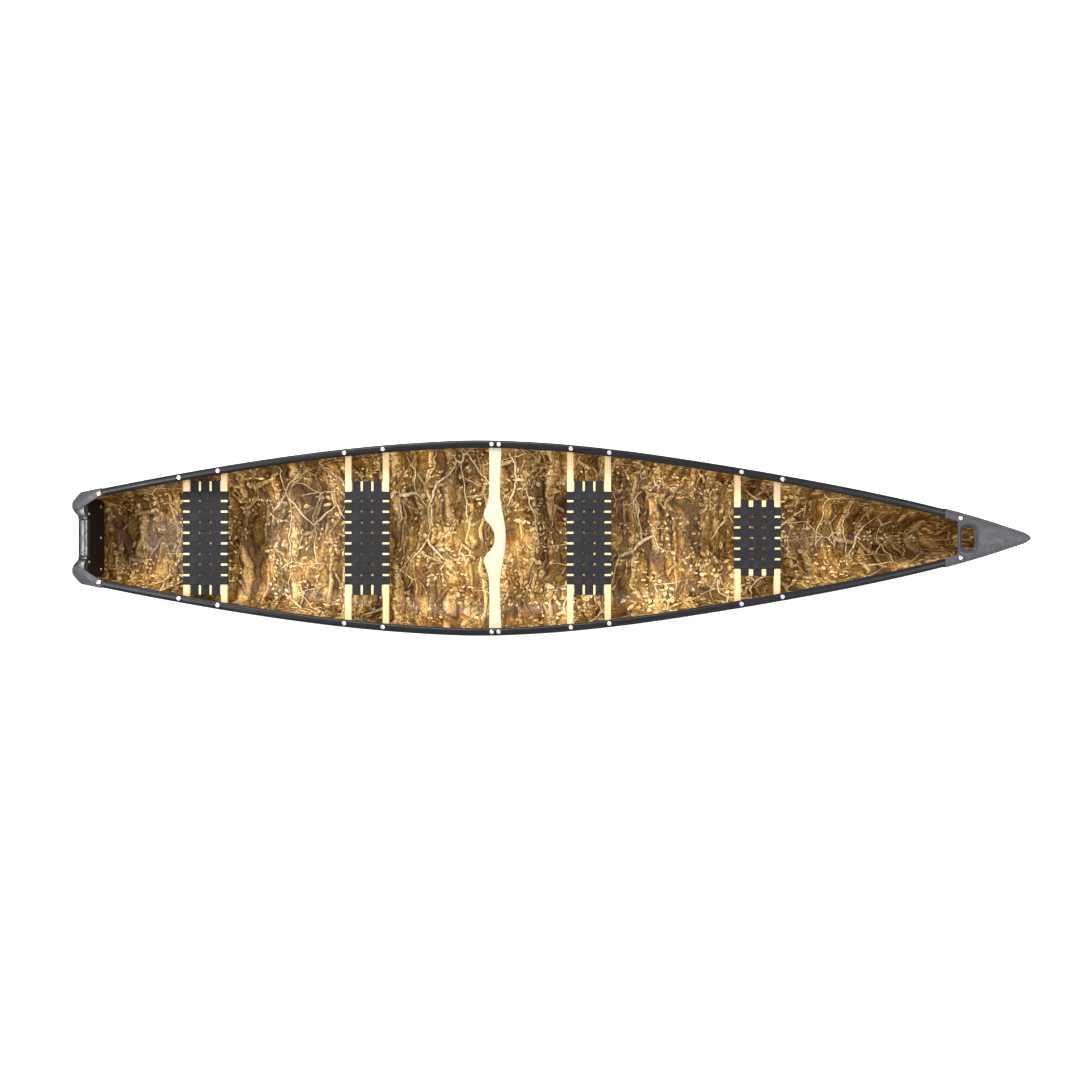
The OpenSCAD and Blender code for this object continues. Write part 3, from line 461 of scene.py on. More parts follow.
def camo():
    """Generic woodland print: brush, trunks, gloom, limbs, leaves and twigs, under a thin clear skin."""
    p = Paint("hull_camo", IOR=1.5, Specular_IOR_Level=0.14)
    flat = p.cloth()
    slow = p.wander(flat, 3.2, 2, (0.16, 0.10, 0))
    fast = p.wander(flat, 16, 3, (0.026, 0.026, 0))
    at = p.vec("ADD", flat, p.vec("ADD", slow, fast))
    x = p.node("SeparateXYZ", {0: at}).outputs[0]
    # Background: brush and grass seen between the trunks.
    brush = p.noise(p.stretch(at, (10, 4, 1)), 1, 7, 0.64)
    colour = p.ramp(brush, [(0.30, srgb(26, 14, 5)), (0.41, srgb(76, 46, 16)), (0.49, srgb(126, 88, 40)),
                            (0.57, srgb(172, 132, 74)), (0.69, srgb(226, 192, 130))])
    olive = p.step(p.noise(at, 6, 3), 0.46, 0.64)
    colour = p.mix(p.mul(olive, 0.5), colour, srgb(108, 94, 42))
    # Trunks: a repeated stand of trees, each with a lit side, a shaded side and long bark.
    tree = p.math("FRACT", p.math("DIVIDE", x, TREE_SPACING))
    bark = p.noise(p.stretch(at, (48, 5, 1)), 1, 5, 0.62)
    trunk = p.ramp(tree, [(0.00, (0, 0, 0)), (0.05, (0.28,) * 3), (0.10, (0.85,) * 3), (0.20, (0.62,) * 3),
                          (0.27, (0.30,) * 3), (0.29, (0, 0, 0)), (0.50, (0, 0, 0)), (0.52, (0.75,) * 3),
                          (0.57, (0.45,) * 3), (0.585, (0, 0, 0)), (0.76, (0, 0, 0)), (0.78, (0.9,) * 3),
                          (0.85, (0.55,) * 3), (0.88, (0, 0, 0))])
    lit = p.add(p.mul(trunk, 0.62), p.mul(bark, 0.5))
    wood = p.ramp(lit, [(0.20, srgb(30, 18, 8)), (0.40, srgb(92, 60, 26)), (0.60, srgb(166, 124, 68)),
                        (0.84, srgb(232, 198, 138))])
    is_trunk = p.mul(p.step(trunk, 0.02, 0.10), p.step(p.noise(at, 5, 2), 0.32, 0.38))
    colour = p.mix(p.mul(is_trunk, 0.95), colour, wood)
    # Deep shade beside the trunks.
    gloom = p.step(p.noise(p.stretch(at, (9, 3.2, 1)), 1, 4, 0.6), 0.56, 0.70)
    colour = p.mix(p.mul(gloom, 0.72), colour, srgb(40, 28, 15))
    # Leaning limbs, then ragged leaves in three sizes, then pale twigs over all.
    upright_net = p.stretch(at, (1.0, 0.34, 1), turn=(0, 0, 0.20))
    leaning_net = p.stretch(at, (1.0, 0.42, 1), turn=(0, 0, -0.42))
    for base, scale, thick, gate, seed, tone in (
            (upright_net, 6.5, 0.075, 0.40, 3.1, srgb(112, 82, 46)),
            (leaning_net, 9.0, 0.055, 0.46, 8.7, srgb(176, 142, 92))):
        mask, halo = lines(p, base, scale, thick, gate, seed)
        colour = p.mix(p.mul(halo, 0.75), colour, DEEP_SHADE)
        colour = p.mix(p.mul(mask, p.step(bark, 0.3, 0.6, 0.5, 1.0)), colour, tone)
    for scale, long, wide, seed, gate in ((13, 0.036, 0.016, 1.3, 0.54), (22, 0.023, 0.011, 5.9, 0.50),
                                          (38, 0.0135, 0.0066, 9.2, 0.47)):
        mask, shade, pick, halo = leaves(p, at, scale, long, wide, seed, gate)
        tone = p.ramp(pick, [(0.0, srgb(86, 50, 18)), (0.22, srgb(160, 108, 52)),
                             (0.42, srgb(122, 100, 44)), (0.62, srgb(206, 168, 102)),
                             (0.84, srgb(240, 212, 156)), (1.0, srgb(112, 64, 28))])
        colour = p.mix(p.mul(halo, 0.78), colour, DEEP_SHADE)
        colour = p.mix(p.mul(mask, 0.9), colour, p.mix(1.0, tone, shade, "MULTIPLY"))
    twigs = p.stretch(at, (0.62, 1.0, 1), turn=(0, 0, 0.5))
    for base, scale, thick, gate, seed in ((leaning_net, 6.0, 0.026, 0.50, 14.2),
                                           (twigs, 7.0, 0.017, 0.53, 21.6)):
        mask, halo = lines(p, base, scale, thick, gate, seed)
        colour = p.mix(p.mul(halo, 0.6), colour, srgb(36, 23, 11))
        colour = p.mix(p.mul(mask, 0.74), colour, srgb(236, 208, 156))
    crumb = p.step(p.noise(p.stretch(at, (110, 64, 1)), 1, 5, 0.72), 0.37, 0.63, 0.54, 1.56)
    colour = p.mix(1.0, colour, crumb, "MULTIPLY")
    grit = p.step(p.noise(flat, 420, 3, 0.6), 0.3, 0.7, 0.86, 1.12)
    broad = p.step(p.noise(p.stretch(flat, (5, 1.2, 1)), 1, 2), 0.38, 0.62, 0.86, 1.42)
    colour = p.mix(1.0, colour, p.mul(grit, broad), "MULTIPLY")
    # Light scuffs along the outside of the bottom.
    spot = p.place()
    scuff = p.step(p.noise(p.stretch(spot, (5, 170, 60)), 1, 3, 0.6), 0.63, 0.70)
    low = p.step(p.node("SeparateXYZ", {0: spot}).outputs[2], 0.05, 0.0)
    down = p.step(p.node("SeparateXYZ", {0: p.node("NewGeometry").outputs["Normal"]}).outputs[2], -0.2, -0.9)
    worn = p.mul(p.mul(scuff, low), down)
    colour = p.mix(p.mul(worn, 0.45), colour, srgb(196, 184, 160))
    peel = p.noise(flat, 240, 2)
    rough = p.add(p.step(p.noise(flat, 7, 4), 0.3, 0.7, 0.34, 0.44), p.mul(worn, 0.3))
    p.bump(p.add(peel, p.mul(p.noise(flat, 11, 2), 3)), 0.18, 0.0006)
    return p.done(colour, rough)


def plastic(name, tone, rough, grain, along=(1, 1, 1), dust=0.1, shine=0.3):
    """Moulded or extruded plastic: fine texture, faint streaks, rubbed edges."""
    p = Paint(name, IOR=1.48, Specular_IOR_Level=shine)
    spot = p.place()
    streak = p.noise(p.stretch(spot, along), 30, 4, 0.6)
    fine = p.noise(spot, grain, 2, 0.6)
    pale = tuple(min(1, v * 1.9 + 0.01) for v in tone)
    colour = p.mix(p.mul(p.step(streak, 0.35, 0.75), 0.35), tone, pale)
    colour = p.mix(p.step(p.wear(), 0.53, 0.60, 0, 0.35), colour, pale)
    haze = p.mul(p.step(p.noise(spot, 9, 4), 0.5, 0.75), dust)
    colour = p.mix(haze, colour, srgb(150, 150, 152))
    p.bump(p.add(fine, p.mul(streak, 0.6)), 0.25, 0.0003)
    return p.done(colour, p.step(streak, 0.3, 0.7, rough - 0.06, rough + 0.1))


def ash_wood(name, tone, deep, turn):
    """Pale ash: growth rings drawn out along the board, open pores and a thin oil finish."""
    p = Paint(name, IOR=1.47, Coat_Weight=0.12, Coat_Roughness=0.3)
    spot = p.stretch(p.place(), (1, 1, 1), turn=turn)
    own = p.node("ObjectInfo").outputs["Random"]
    spot = p.vec("ADD", spot, p.node("CombineXYZ", {0: p.mul(own, 9), 1: p.mul(own, 23)}).outputs[0])
    bend = p.wander(spot, 3, 2, (0.05, 0.012, 0.02))
    bent = p.vec("ADD", spot, bend)
    rings = p.node("TexWave", {"Vector": p.stretch(bent, (0.5, 26, 34)), "Scale": 1.0, "Distortion": 2.2,
                               "Detail": 3.0, "Detail Scale": 1.4}, bands_direction="Y", wave_profile="SAW")
    ring = rings.outputs["Fac"]
    pores = p.step(p.noise(p.stretch(bent, (26, 900, 900)), 1, 3, 0.6), 0.58, 0.72)
    streak = p.noise(p.stretch(bent, (3, 90, 90)), 1, 4, 0.6)
    colour = p.mix(p.step(ring, 0.35, 1.0, 0.0, 0.7), tone, deep)
    colour = p.mix(p.step(streak, 0.45, 0.75, 0, 0.4), colour, deep)
    colour = p.mix(p.mul(pores, 0.35), colour, tuple(v * 0.45 for v in deep))
    colour = p.mix(p.mul(own, 0.35), colour, deep)
    p.bump(p.add(p.mul(pores, -1), p.mul(ring, 0.4)), 0.3, 0.0003)
    return p.done(colour, p.add(p.mul(streak, 0.25), 0.34))


COLUMN_PITCH, COLUMN_STAGGER, RIB_PITCH = 0.0032, 0.00055, 0.0019


def web_cloth():
    """Heavy woven nylon: ribs across, columns along, a darker edge."""
    p = Paint("webbing", Specular_IOR_Level=0.12, Sheen_Weight=0.05, Sheen_Roughness=0.5)
    parts = p.node("SeparateXYZ", {0: p.cloth()})
    along, across = parts.outputs[0], parts.outputs[1]
    column = p.math("SINE", p.mul(across, 2 * math.pi / COLUMN_PITCH))
    rise = p.mul(p.math("SIGN", column), COLUMN_STAGGER)
    rib = p.math("SINE", p.mul(p.add(along, rise), 2 * math.pi / RIB_PITCH))
    thread = p.mul(p.add(p.math("ABSOLUTE", column), 0.3), p.add(p.mul(rib, 0.5), 0.5))
    border = p.step(p.math("ABSOLUTE", across), 0.0205, 0.0215)
    fluff = p.noise(p.cloth(), 900, 3, 0.7)
    fade = p.noise(p.cloth(), 14, 3)
    colour = p.ramp(p.add(p.mul(thread, 0.65), p.mul(fluff, 0.35)),
                    [(0.1, srgb(16, 16, 17)), (0.5, srgb(32, 32, 34)), (0.95, srgb(60, 59, 61))])
    colour = p.mix(p.mul(border, 0.3), colour, srgb(34, 34, 40))
    colour = p.mix(p.step(fade, 0.45, 0.75, 0, 0.22), colour, srgb(70, 69, 70))
    p.bump(p.add(thread, p.mul(fluff, 0.4)), 0.6, 0.0005)
    return p.done(colour, p.step(fluff, 0.3, 0.7, 0.62, 0.86))


def metal(name, tone, rough, along=(1, 1, 1)):
    """Bare metal with fine brushing, slightly duller in patches."""
    p = Paint(name, Metallic=1.0)
    spot = p.place()
    brush = p.noise(p.stretch(spot, along), 900, 3, 0.6)
    cloud = p.noise(spot, 60, 3)
    colour = p.mix(p.step(cloud, 0.4, 0.7, 0, 0.35), tone, tuple(v * 0.7 for v in tone))
    p.bump(brush, 0.12, 0.0001)
    return p.done(colour, p.add(p.mul(brush, 0.2), rough))


def board_paint():
    """Black sealed board: a brushed-on coat over ply, with faint rubbed patches."""
    p = Paint("transom_board", IOR=1.5, Specular_IOR_Level=0.1, Coat_Weight=0.02, Coat_Roughness=0.4)
    spot = p.place()
    grain = p.noise(p.stretch(spot, (60, 5, 60)), 1, 5, 0.65)
    colour = p.ramp(grain, [(0.3, srgb(13, 10, 9)), (0.55, srgb(22, 17, 15)), (0.75, srgb(34, 28, 25))])
    rubbed = p.step(p.noise(p.stretch(spot, (40, 9, 14)), 1, 4, 0.7), 0.62, 0.74)
    colour = p.mix(p.mul(rubbed, 0.3), colour, srgb(58, 46, 36))
    p.bump(p.add(grain, p.mul(p.noise(spot, 500, 2), 0.4)), 0.35, 0.0004)
    return p.done(colour, p.step(grain, 0.3, 0.7, 0.38, 0.56))


CAMO = camo()
VINYL = plastic("gunwale_vinyl", srgb(18, 19, 22), 0.32, 1400, (0.25, 12, 12), 0.02, 0.18)
TRIM = plastic("moulded_trim", srgb(49, 48, 53), 0.37, 1100, (1, 1, 1), 0.03, 0.26)
# A darker copy of the trim plastic: the transom rail's own darker tone, and painted shade on the collars of
# the stern caps.
DARK_AND_SHADED_TRIM = plastic("dark_and_shaded_trim", srgb(23, 25, 29), 0.27, 1100, (1, 1, 1), 0.02, 0.36)
BOARD = board_paint()
STEEL = metal("stainless", (0.66, 0.67, 0.67), 0.2)
ALLOY = metal("stiffener_alloy", (0.66, 0.67, 0.69), 0.32, (0.05, 1, 1))
WEB = web_cloth()
PALE, TAN = srgb(234, 211, 165), srgb(208, 166, 110)
TO_Y = (0, 0, math.pi / 2)
ASH_Y = ash_wood("ash_across", PALE, TAN, TO_Y)
ASH_X = ash_wood("ash_along", PALE, TAN, (0, 0, 0))
ASH_Z = ash_wood("ash_upright", PALE, TAN, (0, math.pi / 2, 0))
YOKE_WOOD = ash_wood("ash_yoke", srgb(204, 190, 164), srgb(186, 158, 120), TO_Y)


# ---------------------------------------------------------------- hull
SIDE_SHIFT, TRANSOM_FOLD, FOLD_HEIGHT = 0.217, 0.9, 400


def hull():
    """The hollow skin, with the pattern laid out flat from the keel. The two faces use different parts."""
    steps, shape = 36, Shape()
    xs = [STERN_X + g for g in (0, 1, 3, 6, 10, 15, 22, 30, 40, 60, 85)]
    count = 170
    xs += [GUNWALE_AFT + (GUNWALE_FORE - GUNWALE_AFT) * i / count for i in range(count + 1)]
    first, last, stem_steps = stem_rise(GUNWALE_FORE), 0.93, 34
    xs += [stem_station(first + (last - first) * k / stem_steps) for k in range(1, stem_steps + 1)]
    gaps_in = {0: 0, 1: 0.8, 3: 2.5, 6: 5.2, 10: 8.5, 15: 12.2, 22: 17, 30: 25, 40: 34, 60: 56, 85: 83}
    rings = []
    for x in xs:
        x_in = x
        if x < GUNWALE_AFT:
            x_in = STERN_X + SKIN + gaps_in[round(x - STERN_X)]
        elif x > GUNWALE_FORE:
            x_in = GUNWALE_FORE + (x - GUNWALE_FORE) * (1 - STEM_WALL / (STEM_X - GUNWALE_FORE))
        outer = section(x, half_out(x), floor_out(x), steps)
        inner = section(x_in, half_in(x_in), floor_in(x, x_in), steps)
        rings.append((outer, inner))
    uvs, loops = [], []
    for outer, inner in rings:
        ring, uv = [], []
        for side, points in enumerate((outer, inner)):
            run = [0.0]
            for a, b in zip(points, points[1:]):
                run.append(run[-1] + math.dist(a, b))
            flat = [(p[0] * MM, (r - run[steps]) * MM + SIDE_SHIFT * side) for p, r in zip(points, run)]
            ring += points if side == 0 else points[::-1]
            uv += flat if side == 0 else flat[::-1]
        loops.append(ring)
        uvs.append(uv)
    shape.loft(loops, uvs, cap=False)
    # The transom skin and the solid stem close the two ends.
    wide, m = 2 * steps + 1, len(xs) - 1
    for station, flat in ((0, True), (m, False)):
        for side in range(2):
            base = station * 2 * wide + side * wide
            start = len(shape.verts)
            for k in range(wide):
                v = shape.verts[base + k]
                shape.verts.append(v)
                out = v[0] - TRANSOM_FOLD * (v[2] - FOLD_HEIGHT) if flat else v[0]
                shape.uv.append((out * MM, v[1] * MM + SIDE_SHIFT * side))
            if side == 0 or flat:
                shape.faces.append(tuple(range(start, start + wide)))
    return shape


hull().piece("hull_shell", CAMO, "hull_camo", ["hull"], sharp=50)


# ---------------------------------------------------------------- gunwales
def arc(cx, cy, r, a0, a1, n=5):
    """Points round a centre, from angle a0 to a1 in degrees."""
    return [(cx + r * math.cos(math.radians(a0 + (a1 - a0) * k / n)),
             cy + r * math.sin(math.radians(a0 + (a1 - a0) * k / n))) for k in range(n + 1)]


SLOT_IN = LIP_T + 2 * FIT + SKIN
CHANNEL_OUT, CHANNEL_IN = SLOT_IN + LIP_T, GUNWALE_W - 4
DOME_STEPS, DOME_TOP, DOME_FALL, LIP_ROUND = 18, 0.1, 8.5, 1.2
DOME = [(GUNWALE_W * (1 - math.cos(math.pi * i / DOME_STEPS)) / 2) for i in range(DOME_STEPS + 1)]
PROFILE = (arc(LIP_ROUND, -LIP_H + LIP_ROUND, LIP_ROUND, 270, 180, 3)
           + [(w, DOME_TOP - DOME_FALL * abs(2 * w / GUNWALE_W - 1) ** 3) for w in DOME]
           + arc(GUNWALE_W - LIP_ROUND, -GUNWALE_H + LIP_ROUND, LIP_ROUND, 0, -90, 3)
           + [(CHANNEL_IN, -GUNWALE_H), (CHANNEL_IN, -COVER + FIT), (CHANNEL_OUT, -COVER + FIT),
              (CHANNEL_OUT, -GUNWALE_H), (SLOT_IN, -GUNWALE_H), (SLOT_IN, -COVER + FIT),
              (LIP_T, -COVER + FIT), (LIP_T, -LIP_H)])


def gunwale(side, name):
    shape, count = Shape(), 150
    rings = []
    for i in range(count + 1):
        x = GUNWALE_AFT + (GUNWALE_FORE - GUNWALE_AFT) * i / count
        rings.append([(x, side * inboard(x, w), sheer(x) + h) for w, h in PROFILE])
    shape.loft(rings)
    shape.piece(name + "_rail", VINYL, "gunwale_vinyl", [name])


gunwale(1, "gunwale_port")
gunwale(-1, "gunwale_starboard")


# ---------------------------------------------------------------- bow deck plate
HOLE_X, HOLE, HOLE_ROUND = 2277, (66, 122), 22
DECK_AFT, DECK_BODY, DECK_OUT, DECK_END = 2160, 2225, 3, 2589.5
DECK_SCREW = (2238, inboard(2238, 27))
PAD_TOP, PAD_R, CROWN, EDGE_BAND, AFT_LIP = 6.7, 15, 5, 2.6, 1.4
RIM_W, RIM_RISE, RIM_FALL, RIM_FALL_W, RIM_FLOOR = 17, 4.2, 10, 12.5, -5.8
DECK_BASE, DECK_WALL, DECK_SKIRT, NARROW_TIP = 2.5, 2.5, 24, 40


def hole_gap(x, y):
    """Distance outside the rounded hand hole."""
    u = abs(x - HOLE_X) - HOLE[0] / 2 + HOLE_ROUND
    v = abs(y) - HOLE[1] / 2 + HOLE_ROUND
    return math.hypot(max(u, 0), max(v, 0)) + min(max(u, v), 0) - HOLE_ROUND


def smooth(t):
    t = max(0, min(1, t))
    return t * t * (3 - 2 * t)


def deck_height(x, y, b):
    """Height of the deck over the sheer, where b is its half width at x."""
    k = min(1, b / NARROW_TIP)
    gap = (b - abs(y)) / k
    edge_band = EDGE_BAND * smooth((17.5 - gap) / 3)
    round_off = -2.4 * (1 - smooth(gap / 4)) ** 2
    crown = CROWN * min(1, b / 120) * max(0, 1 - (y / max(1, b)) ** 2)
    out = hole_gap(x, y)
    rim = RIM_RISE * smooth((RIM_W - out) / 3) - RIM_FALL * (1 - smooth(out / RIM_FALL_W))
    aft_lip = AFT_LIP * smooth((DECK_BODY + 12 - x) / 5)
    height = DECK_BASE + crown * 0.9 + edge_band + round_off + max(RIM_FLOOR, rim) * (gap > 6) + aft_lip
    pad = smooth((PAD_R - math.hypot(x - DECK_SCREW[0], abs(y) - DECK_SCREW[1])) / 1.6)
    return height + (PAD_TOP - height) * pad


def deck_plate():
    """One lofted plate, from which the hand hole and the rounded mouth aft are then cut."""
    shape, rings = Shape(), []
    fine, coarse = 93, 46
    xs = [DECK_AFT + 2 * i for i in range(fine)]
    run = DECK_END - xs[-1]
    xs += [xs[fine - 1] + run * (1 - (1 - i / coarse) ** 1.6) for i in range(1, coarse + 1)]
    rim_gaps = [0, 0.6, 1.4, 2.6, 4, 8, 13, 14.5, 16, 17, 18]
    for x in xs:
        b = edge(x) + DECK_OUT * edge(x) / edge_raw(x)
        k, z = min(1, b / NARROW_TIP), sheer(x)
        mid = b - 18 * k
        half = [b - g * k for g in rim_gaps]
        ys = half + [mid * (1 - 2 * i / 96) for i in range(1, 96)] + [-y for y in half[::-1]]
        top = [(x, y, z + deck_height(x, y, b)) for y in ys]
        wall, foot = min(DECK_WALL, b * 0.4), z - DECK_SKIRT
        ends = [(x, -b, foot), (x, -b + wall, foot)]
        lid = []
        for y in ys[::-1]:
            y_in = max(-b + wall, min(b - wall, y))
            over = 0.5 if b - abs(y) < GUNWALE_W + 6 and x < GUNWALE_FORE + 4 else -1.5
            lid.append((x, y_in, z + min(over, deck_height(x, y, b) - 2)))
        rings.append(top + ends + lid + [(x, b - wall, foot), (x, b, foot)])
    shape.loft(rings)
    obj = shape.piece("bow_deck", TRIM, "moulded_trim", ["bow_deck_plate"])
    hand, low, high = Shape(), sheer(HOLE_X) - 60, sheer(HOLE_X) + 60
    w, v = HOLE[0] / 2, HOLE[1] / 2
    corners = ((w, v, 0), (-w, v, 90), (-w, -v, 180), (w, -v, 270))
    outline = [point for cx, cy, a in corners
               for point in arc(HOLE_X + math.copysign(abs(cx) - HOLE_ROUND, cx),
                                math.copysign(abs(cy) - HOLE_ROUND, cy), HOLE_ROUND, a, a + 90, 10)]
    hand.loft([[(u, v, z) for u, v in outline] for z in (low, high)])
    cut(obj, hand)
    gap, aft = Shape(), DECK_AFT - 20
    w = GUNWALE_W + 0.5 + DECK_OUT
    outline = fillet([(aft, inboard(aft, w)), (aft, -inboard(aft, w)), (DECK_BODY, -inboard(DECK_BODY, w)),
                      (DECK_BODY, inboard(DECK_BODY, w))], 17)
    gap.loft([[(u, v, z) for u, v in outline] for z in (sheer(aft) - 60, sheer(aft) + 60)])
    cut(obj, gap)
    add_bevel(obj, 0.8, 2, 50)


deck_plate()


# ---------------------------------------------------------------- stern caps and cap rail
CAP_TOP, CAP_LOW, CAP_FORE, CAP_END = sheer(STERN_X) + 4, sheer(STERN_X) - 34, GUNWALE_AFT - 4, -2589.5


def stern_cap(side, name):
    """A hollow corner cap, with its neck as a second piece on the same node."""
    outer = [(CAP_FORE, edge_raw(CAP_FORE) + 3), (-2540, edge_raw(-2540) + 3), (CAP_END + 38, 243),
             (CAP_END + 8, 207), (CAP_END, 194), (CAP_END, 162), (CAP_END + 7, 154)]
    inner = [(-2546, 157), (-2459, 214), (CAP_FORE, inboard(CAP_FORE, GUNWALE_W))]
    outline = fillet(outer + inner, 7)
    shape = Shape()
    slab(shape, [(x, side * y) for x, y in outline][::side], CAP_LOW, CAP_TOP, 5, 0.6)
    obj = shape.piece(name + "_cap", TRIM, "moulded_trim", [name])
    pocket = [(CAP_FORE + 20, edge_raw(CAP_FORE) - 1), (-2540, edge_raw(-2540) - 1), (CAP_END + 40, 238),
              (CAP_END + 12, 204), (CAP_END + 4, 192), (CAP_END + 4, 162), (CAP_END - 5, 156),
              (CAP_END - 5, 90), (CAP_FORE + 20, 90)]
    hollow = Shape()
    hollow.loft([[(x, side * y, z) for x, y in pocket] for z in (CAP_LOW - 10, CAP_TOP - 4)])
    cut(obj, hollow)
    # The neck slopes down from the cap and ends in a raised collar over the end of the rail. It takes the
    # darker copy of the trim plastic, as painted shade on the cap's sloping inner side.
    neck = Shape()
    rows = ((102, -2555.5, -2504, 449), (103, -2555.5, -2504, 449.6), (108, -2555.5, -2504, 449.6),
            (109, -2555.5, -2504, 448.4), (111, -2555.5, -2504, 448.4), (112, -2555.5, -2504, 449.3),
            (116, -2555.8, -2504.4, 449), (118, -2557, -2505.5, 446.6), (127, -2564.5, -2512.6, 445.4),
            (138, -2574, -2521, 445.2), (149, -2583.2, -2521, 446), (158, -2585, -2521, 445.6),
            (176, -2585, -2521, 444.8))
    rings = []
    for y, aft, fore, high in rows:
        ring = [(aft, high - 5.5)] + arc(aft + 3, high - 3, 3, 180, 90, 4)
        ring += arc(fore - 3, high - 3, 3, 90, 0, 4) + [(fore, high - 5.5)]
        rings.append([(x, side * y, z) for x, z in ring])
    neck.loft(rings)
    neck.piece(name + "_collar", DARK_AND_SHADED_TRIM, "moulded_trim", [name])
    return obj


for mirror, label in ((1, "stern_cap_port"), (-1, "stern_cap_starboard")):
    stern_cap(mirror, label)

BOARD_TOP, INNER_T, OUTER_T, BOARD_FIT = sheer(STERN_X) - COVER, 22, 20, 0.3
INNER_FACE = STERN_X + SKIN + BOARD_FIT + INNER_T
OUTER_FACE = STERN_X - BOARD_FIT - OUTER_T


def cap_rail():
    """The grooved grip over the transom, hollow below so that it sits over both boards."""
    z, top, drop, half = BOARD_TOP + BOARD_FIT, BOARD_TOP + 10, 13, 101.5
    aft, fore = OUTER_FACE, INNER_FACE + 6.3
    shape, rings = Shape(), []
    for y in [-half, -half + 1, -half + 3] + [-half + 6 + i * (2 * half - 12) / 60 for i in range(61)] \
            + [half - 3, half - 1, half]:
        end = 3 * (1 - smooth((half - abs(y)) / 3)) * 0.4
        rise = 0.9 * smooth((half - 2 - abs(y)) / 3)
        outline = [(aft, z - drop)] + arc(aft + 6, top - 6 - end, 6, 180, 90)
        outline += [(aft + 14, top - end + rise), (aft + 24, top - end + rise), (aft + 33, top - end),
                    (aft + 35.5, top - 2.2), (aft + 38.5, top - 2.2), (aft + 40.5, top - end)]
        outline += arc(fore - 6, top - 6 - end, 6, 90, 0) + [(fore, z - drop), (fore - 6, z - drop)]
        outline += [(fore - 6, z), (aft + 6, z), (aft + 6, z - drop)]
        rings.append([(x, y, h) for x, h in outline])
    shape.loft(rings)
    shape.piece("transom_handle", DARK_AND_SHADED_TRIM, "moulded_trim", ["transom_cap_rail"], bevel=0.6)


def repaint(label, mat):
    """Gives a CAD node that keeps its own mesh its material."""
    materials = NODES[label].data.materials
    materials.clear()
    materials.append(mat)


cap_rail()
for label in ("transom_board_inner", "transom_board_outer"):
    repaint(label, BOARD)
    add_bevel(NODES[label], 2)


# ---------------------------------------------------------------- seats
SEATS = {"stern_seat": (-1906, 212, 9, 60, 56), "aft_seat": (-1000, 212, 9, 60, 56),
         "centre_seat": (251.5, 212, 9, 60, 56), "bow_seat": (1194, 222, 6, 72.5, 37)}
RAIL_W, RAIL_T, SEAT_DROP, LONG_PITCH, WEB_W, WEB_T, UNDER, BAR_SINK = 36, 19, 105, 59.5, 48, 1.6, 28, 2
TOUCH, RAIL_GAP, RAIL_TO_SKIN, BAR_TO_WEB, FOLD_GAP, BAR_LINE = 0.1, 0.4, 1.5, 1.5, 1.2, -1.1
DOWEL_R, DOWEL_BORE, DOWEL_EDGE, HANG_GAP, FOLD_R = 12.5, 3.4, 1, 0.5, 2.4


def upright(x, y, z):
    """Places a turned part on a vertical axis at this point."""
    return lambda u, v, w: (x + u, y + v, z + w)


def strap(shape, path, to_frame):
    """A flat strap along a path of (distance, height), with rounded edges."""
    half, r = WEB_W / 2, WEB_T / 2
    across = [-half + r * 0.3, -half + r, -half * 0.5, 0, half * 0.5, half - r, half - r * 0.3]
    lift = [0.45, 1, 1, 1, 1, 1, 0.45]
    rings, uvs, run = [], [], 0.0
    for i, (s, z) in enumerate(path):
        before, after = path[max(0, i - 1)], path[min(len(path) - 1, i + 1)]
        d = Vector((after[0] - before[0], after[1] - before[1])).normalized()
        normal = (-d.y, d.x)
        if i:
            run += math.dist(path[i - 1], path[i])
        top = [to_frame(s + normal[0] * r * k, w, z + normal[1] * r * k) for w, k in zip(across, lift)]
        low = [to_frame(s - normal[0] * r * k, w, z - normal[1] * r * k) for w, k in zip(across, lift)]
        rings.append(top + [to_frame(s, half, z)] + low[::-1] + [to_frame(s, -half, z)])
        flat = [(run * MM, w * MM) for w in across]
        uvs.append(flat + [(run * MM, half * MM)] + flat[::-1] + [(run * MM, -half * MM)])
    shape.loft(rings, uvs)


def folded(edge_at, low, line, end_z):
    """Adds the turn round a rail or bar at both ends of a strap's top line."""
    r = FOLD_R
    side = [(edge_at - UNDER + (UNDER - r) * k / 6, low) for k in range(7)]
    side += arc(edge_at - r, low + r, r, -60, 0, 2)
    side += arc(edge_at - r, end_z - r, r, 0, 90, 3)
    return [(-s, z) for s, z in side] + line + side[::-1]


def over_and_under(at, up, centre, lift):
    """The part of a strap's path that crosses over (up = 1) or under (up = -1) another strap."""
    return [(at - WEB_W / 2 + d, centre + up * lift * w)
            for d, w in ((-2, 0.7), (2, 1), (WEB_W / 2, 1), (WEB_W - 2, 1), (WEB_W + 2, 0.7))]


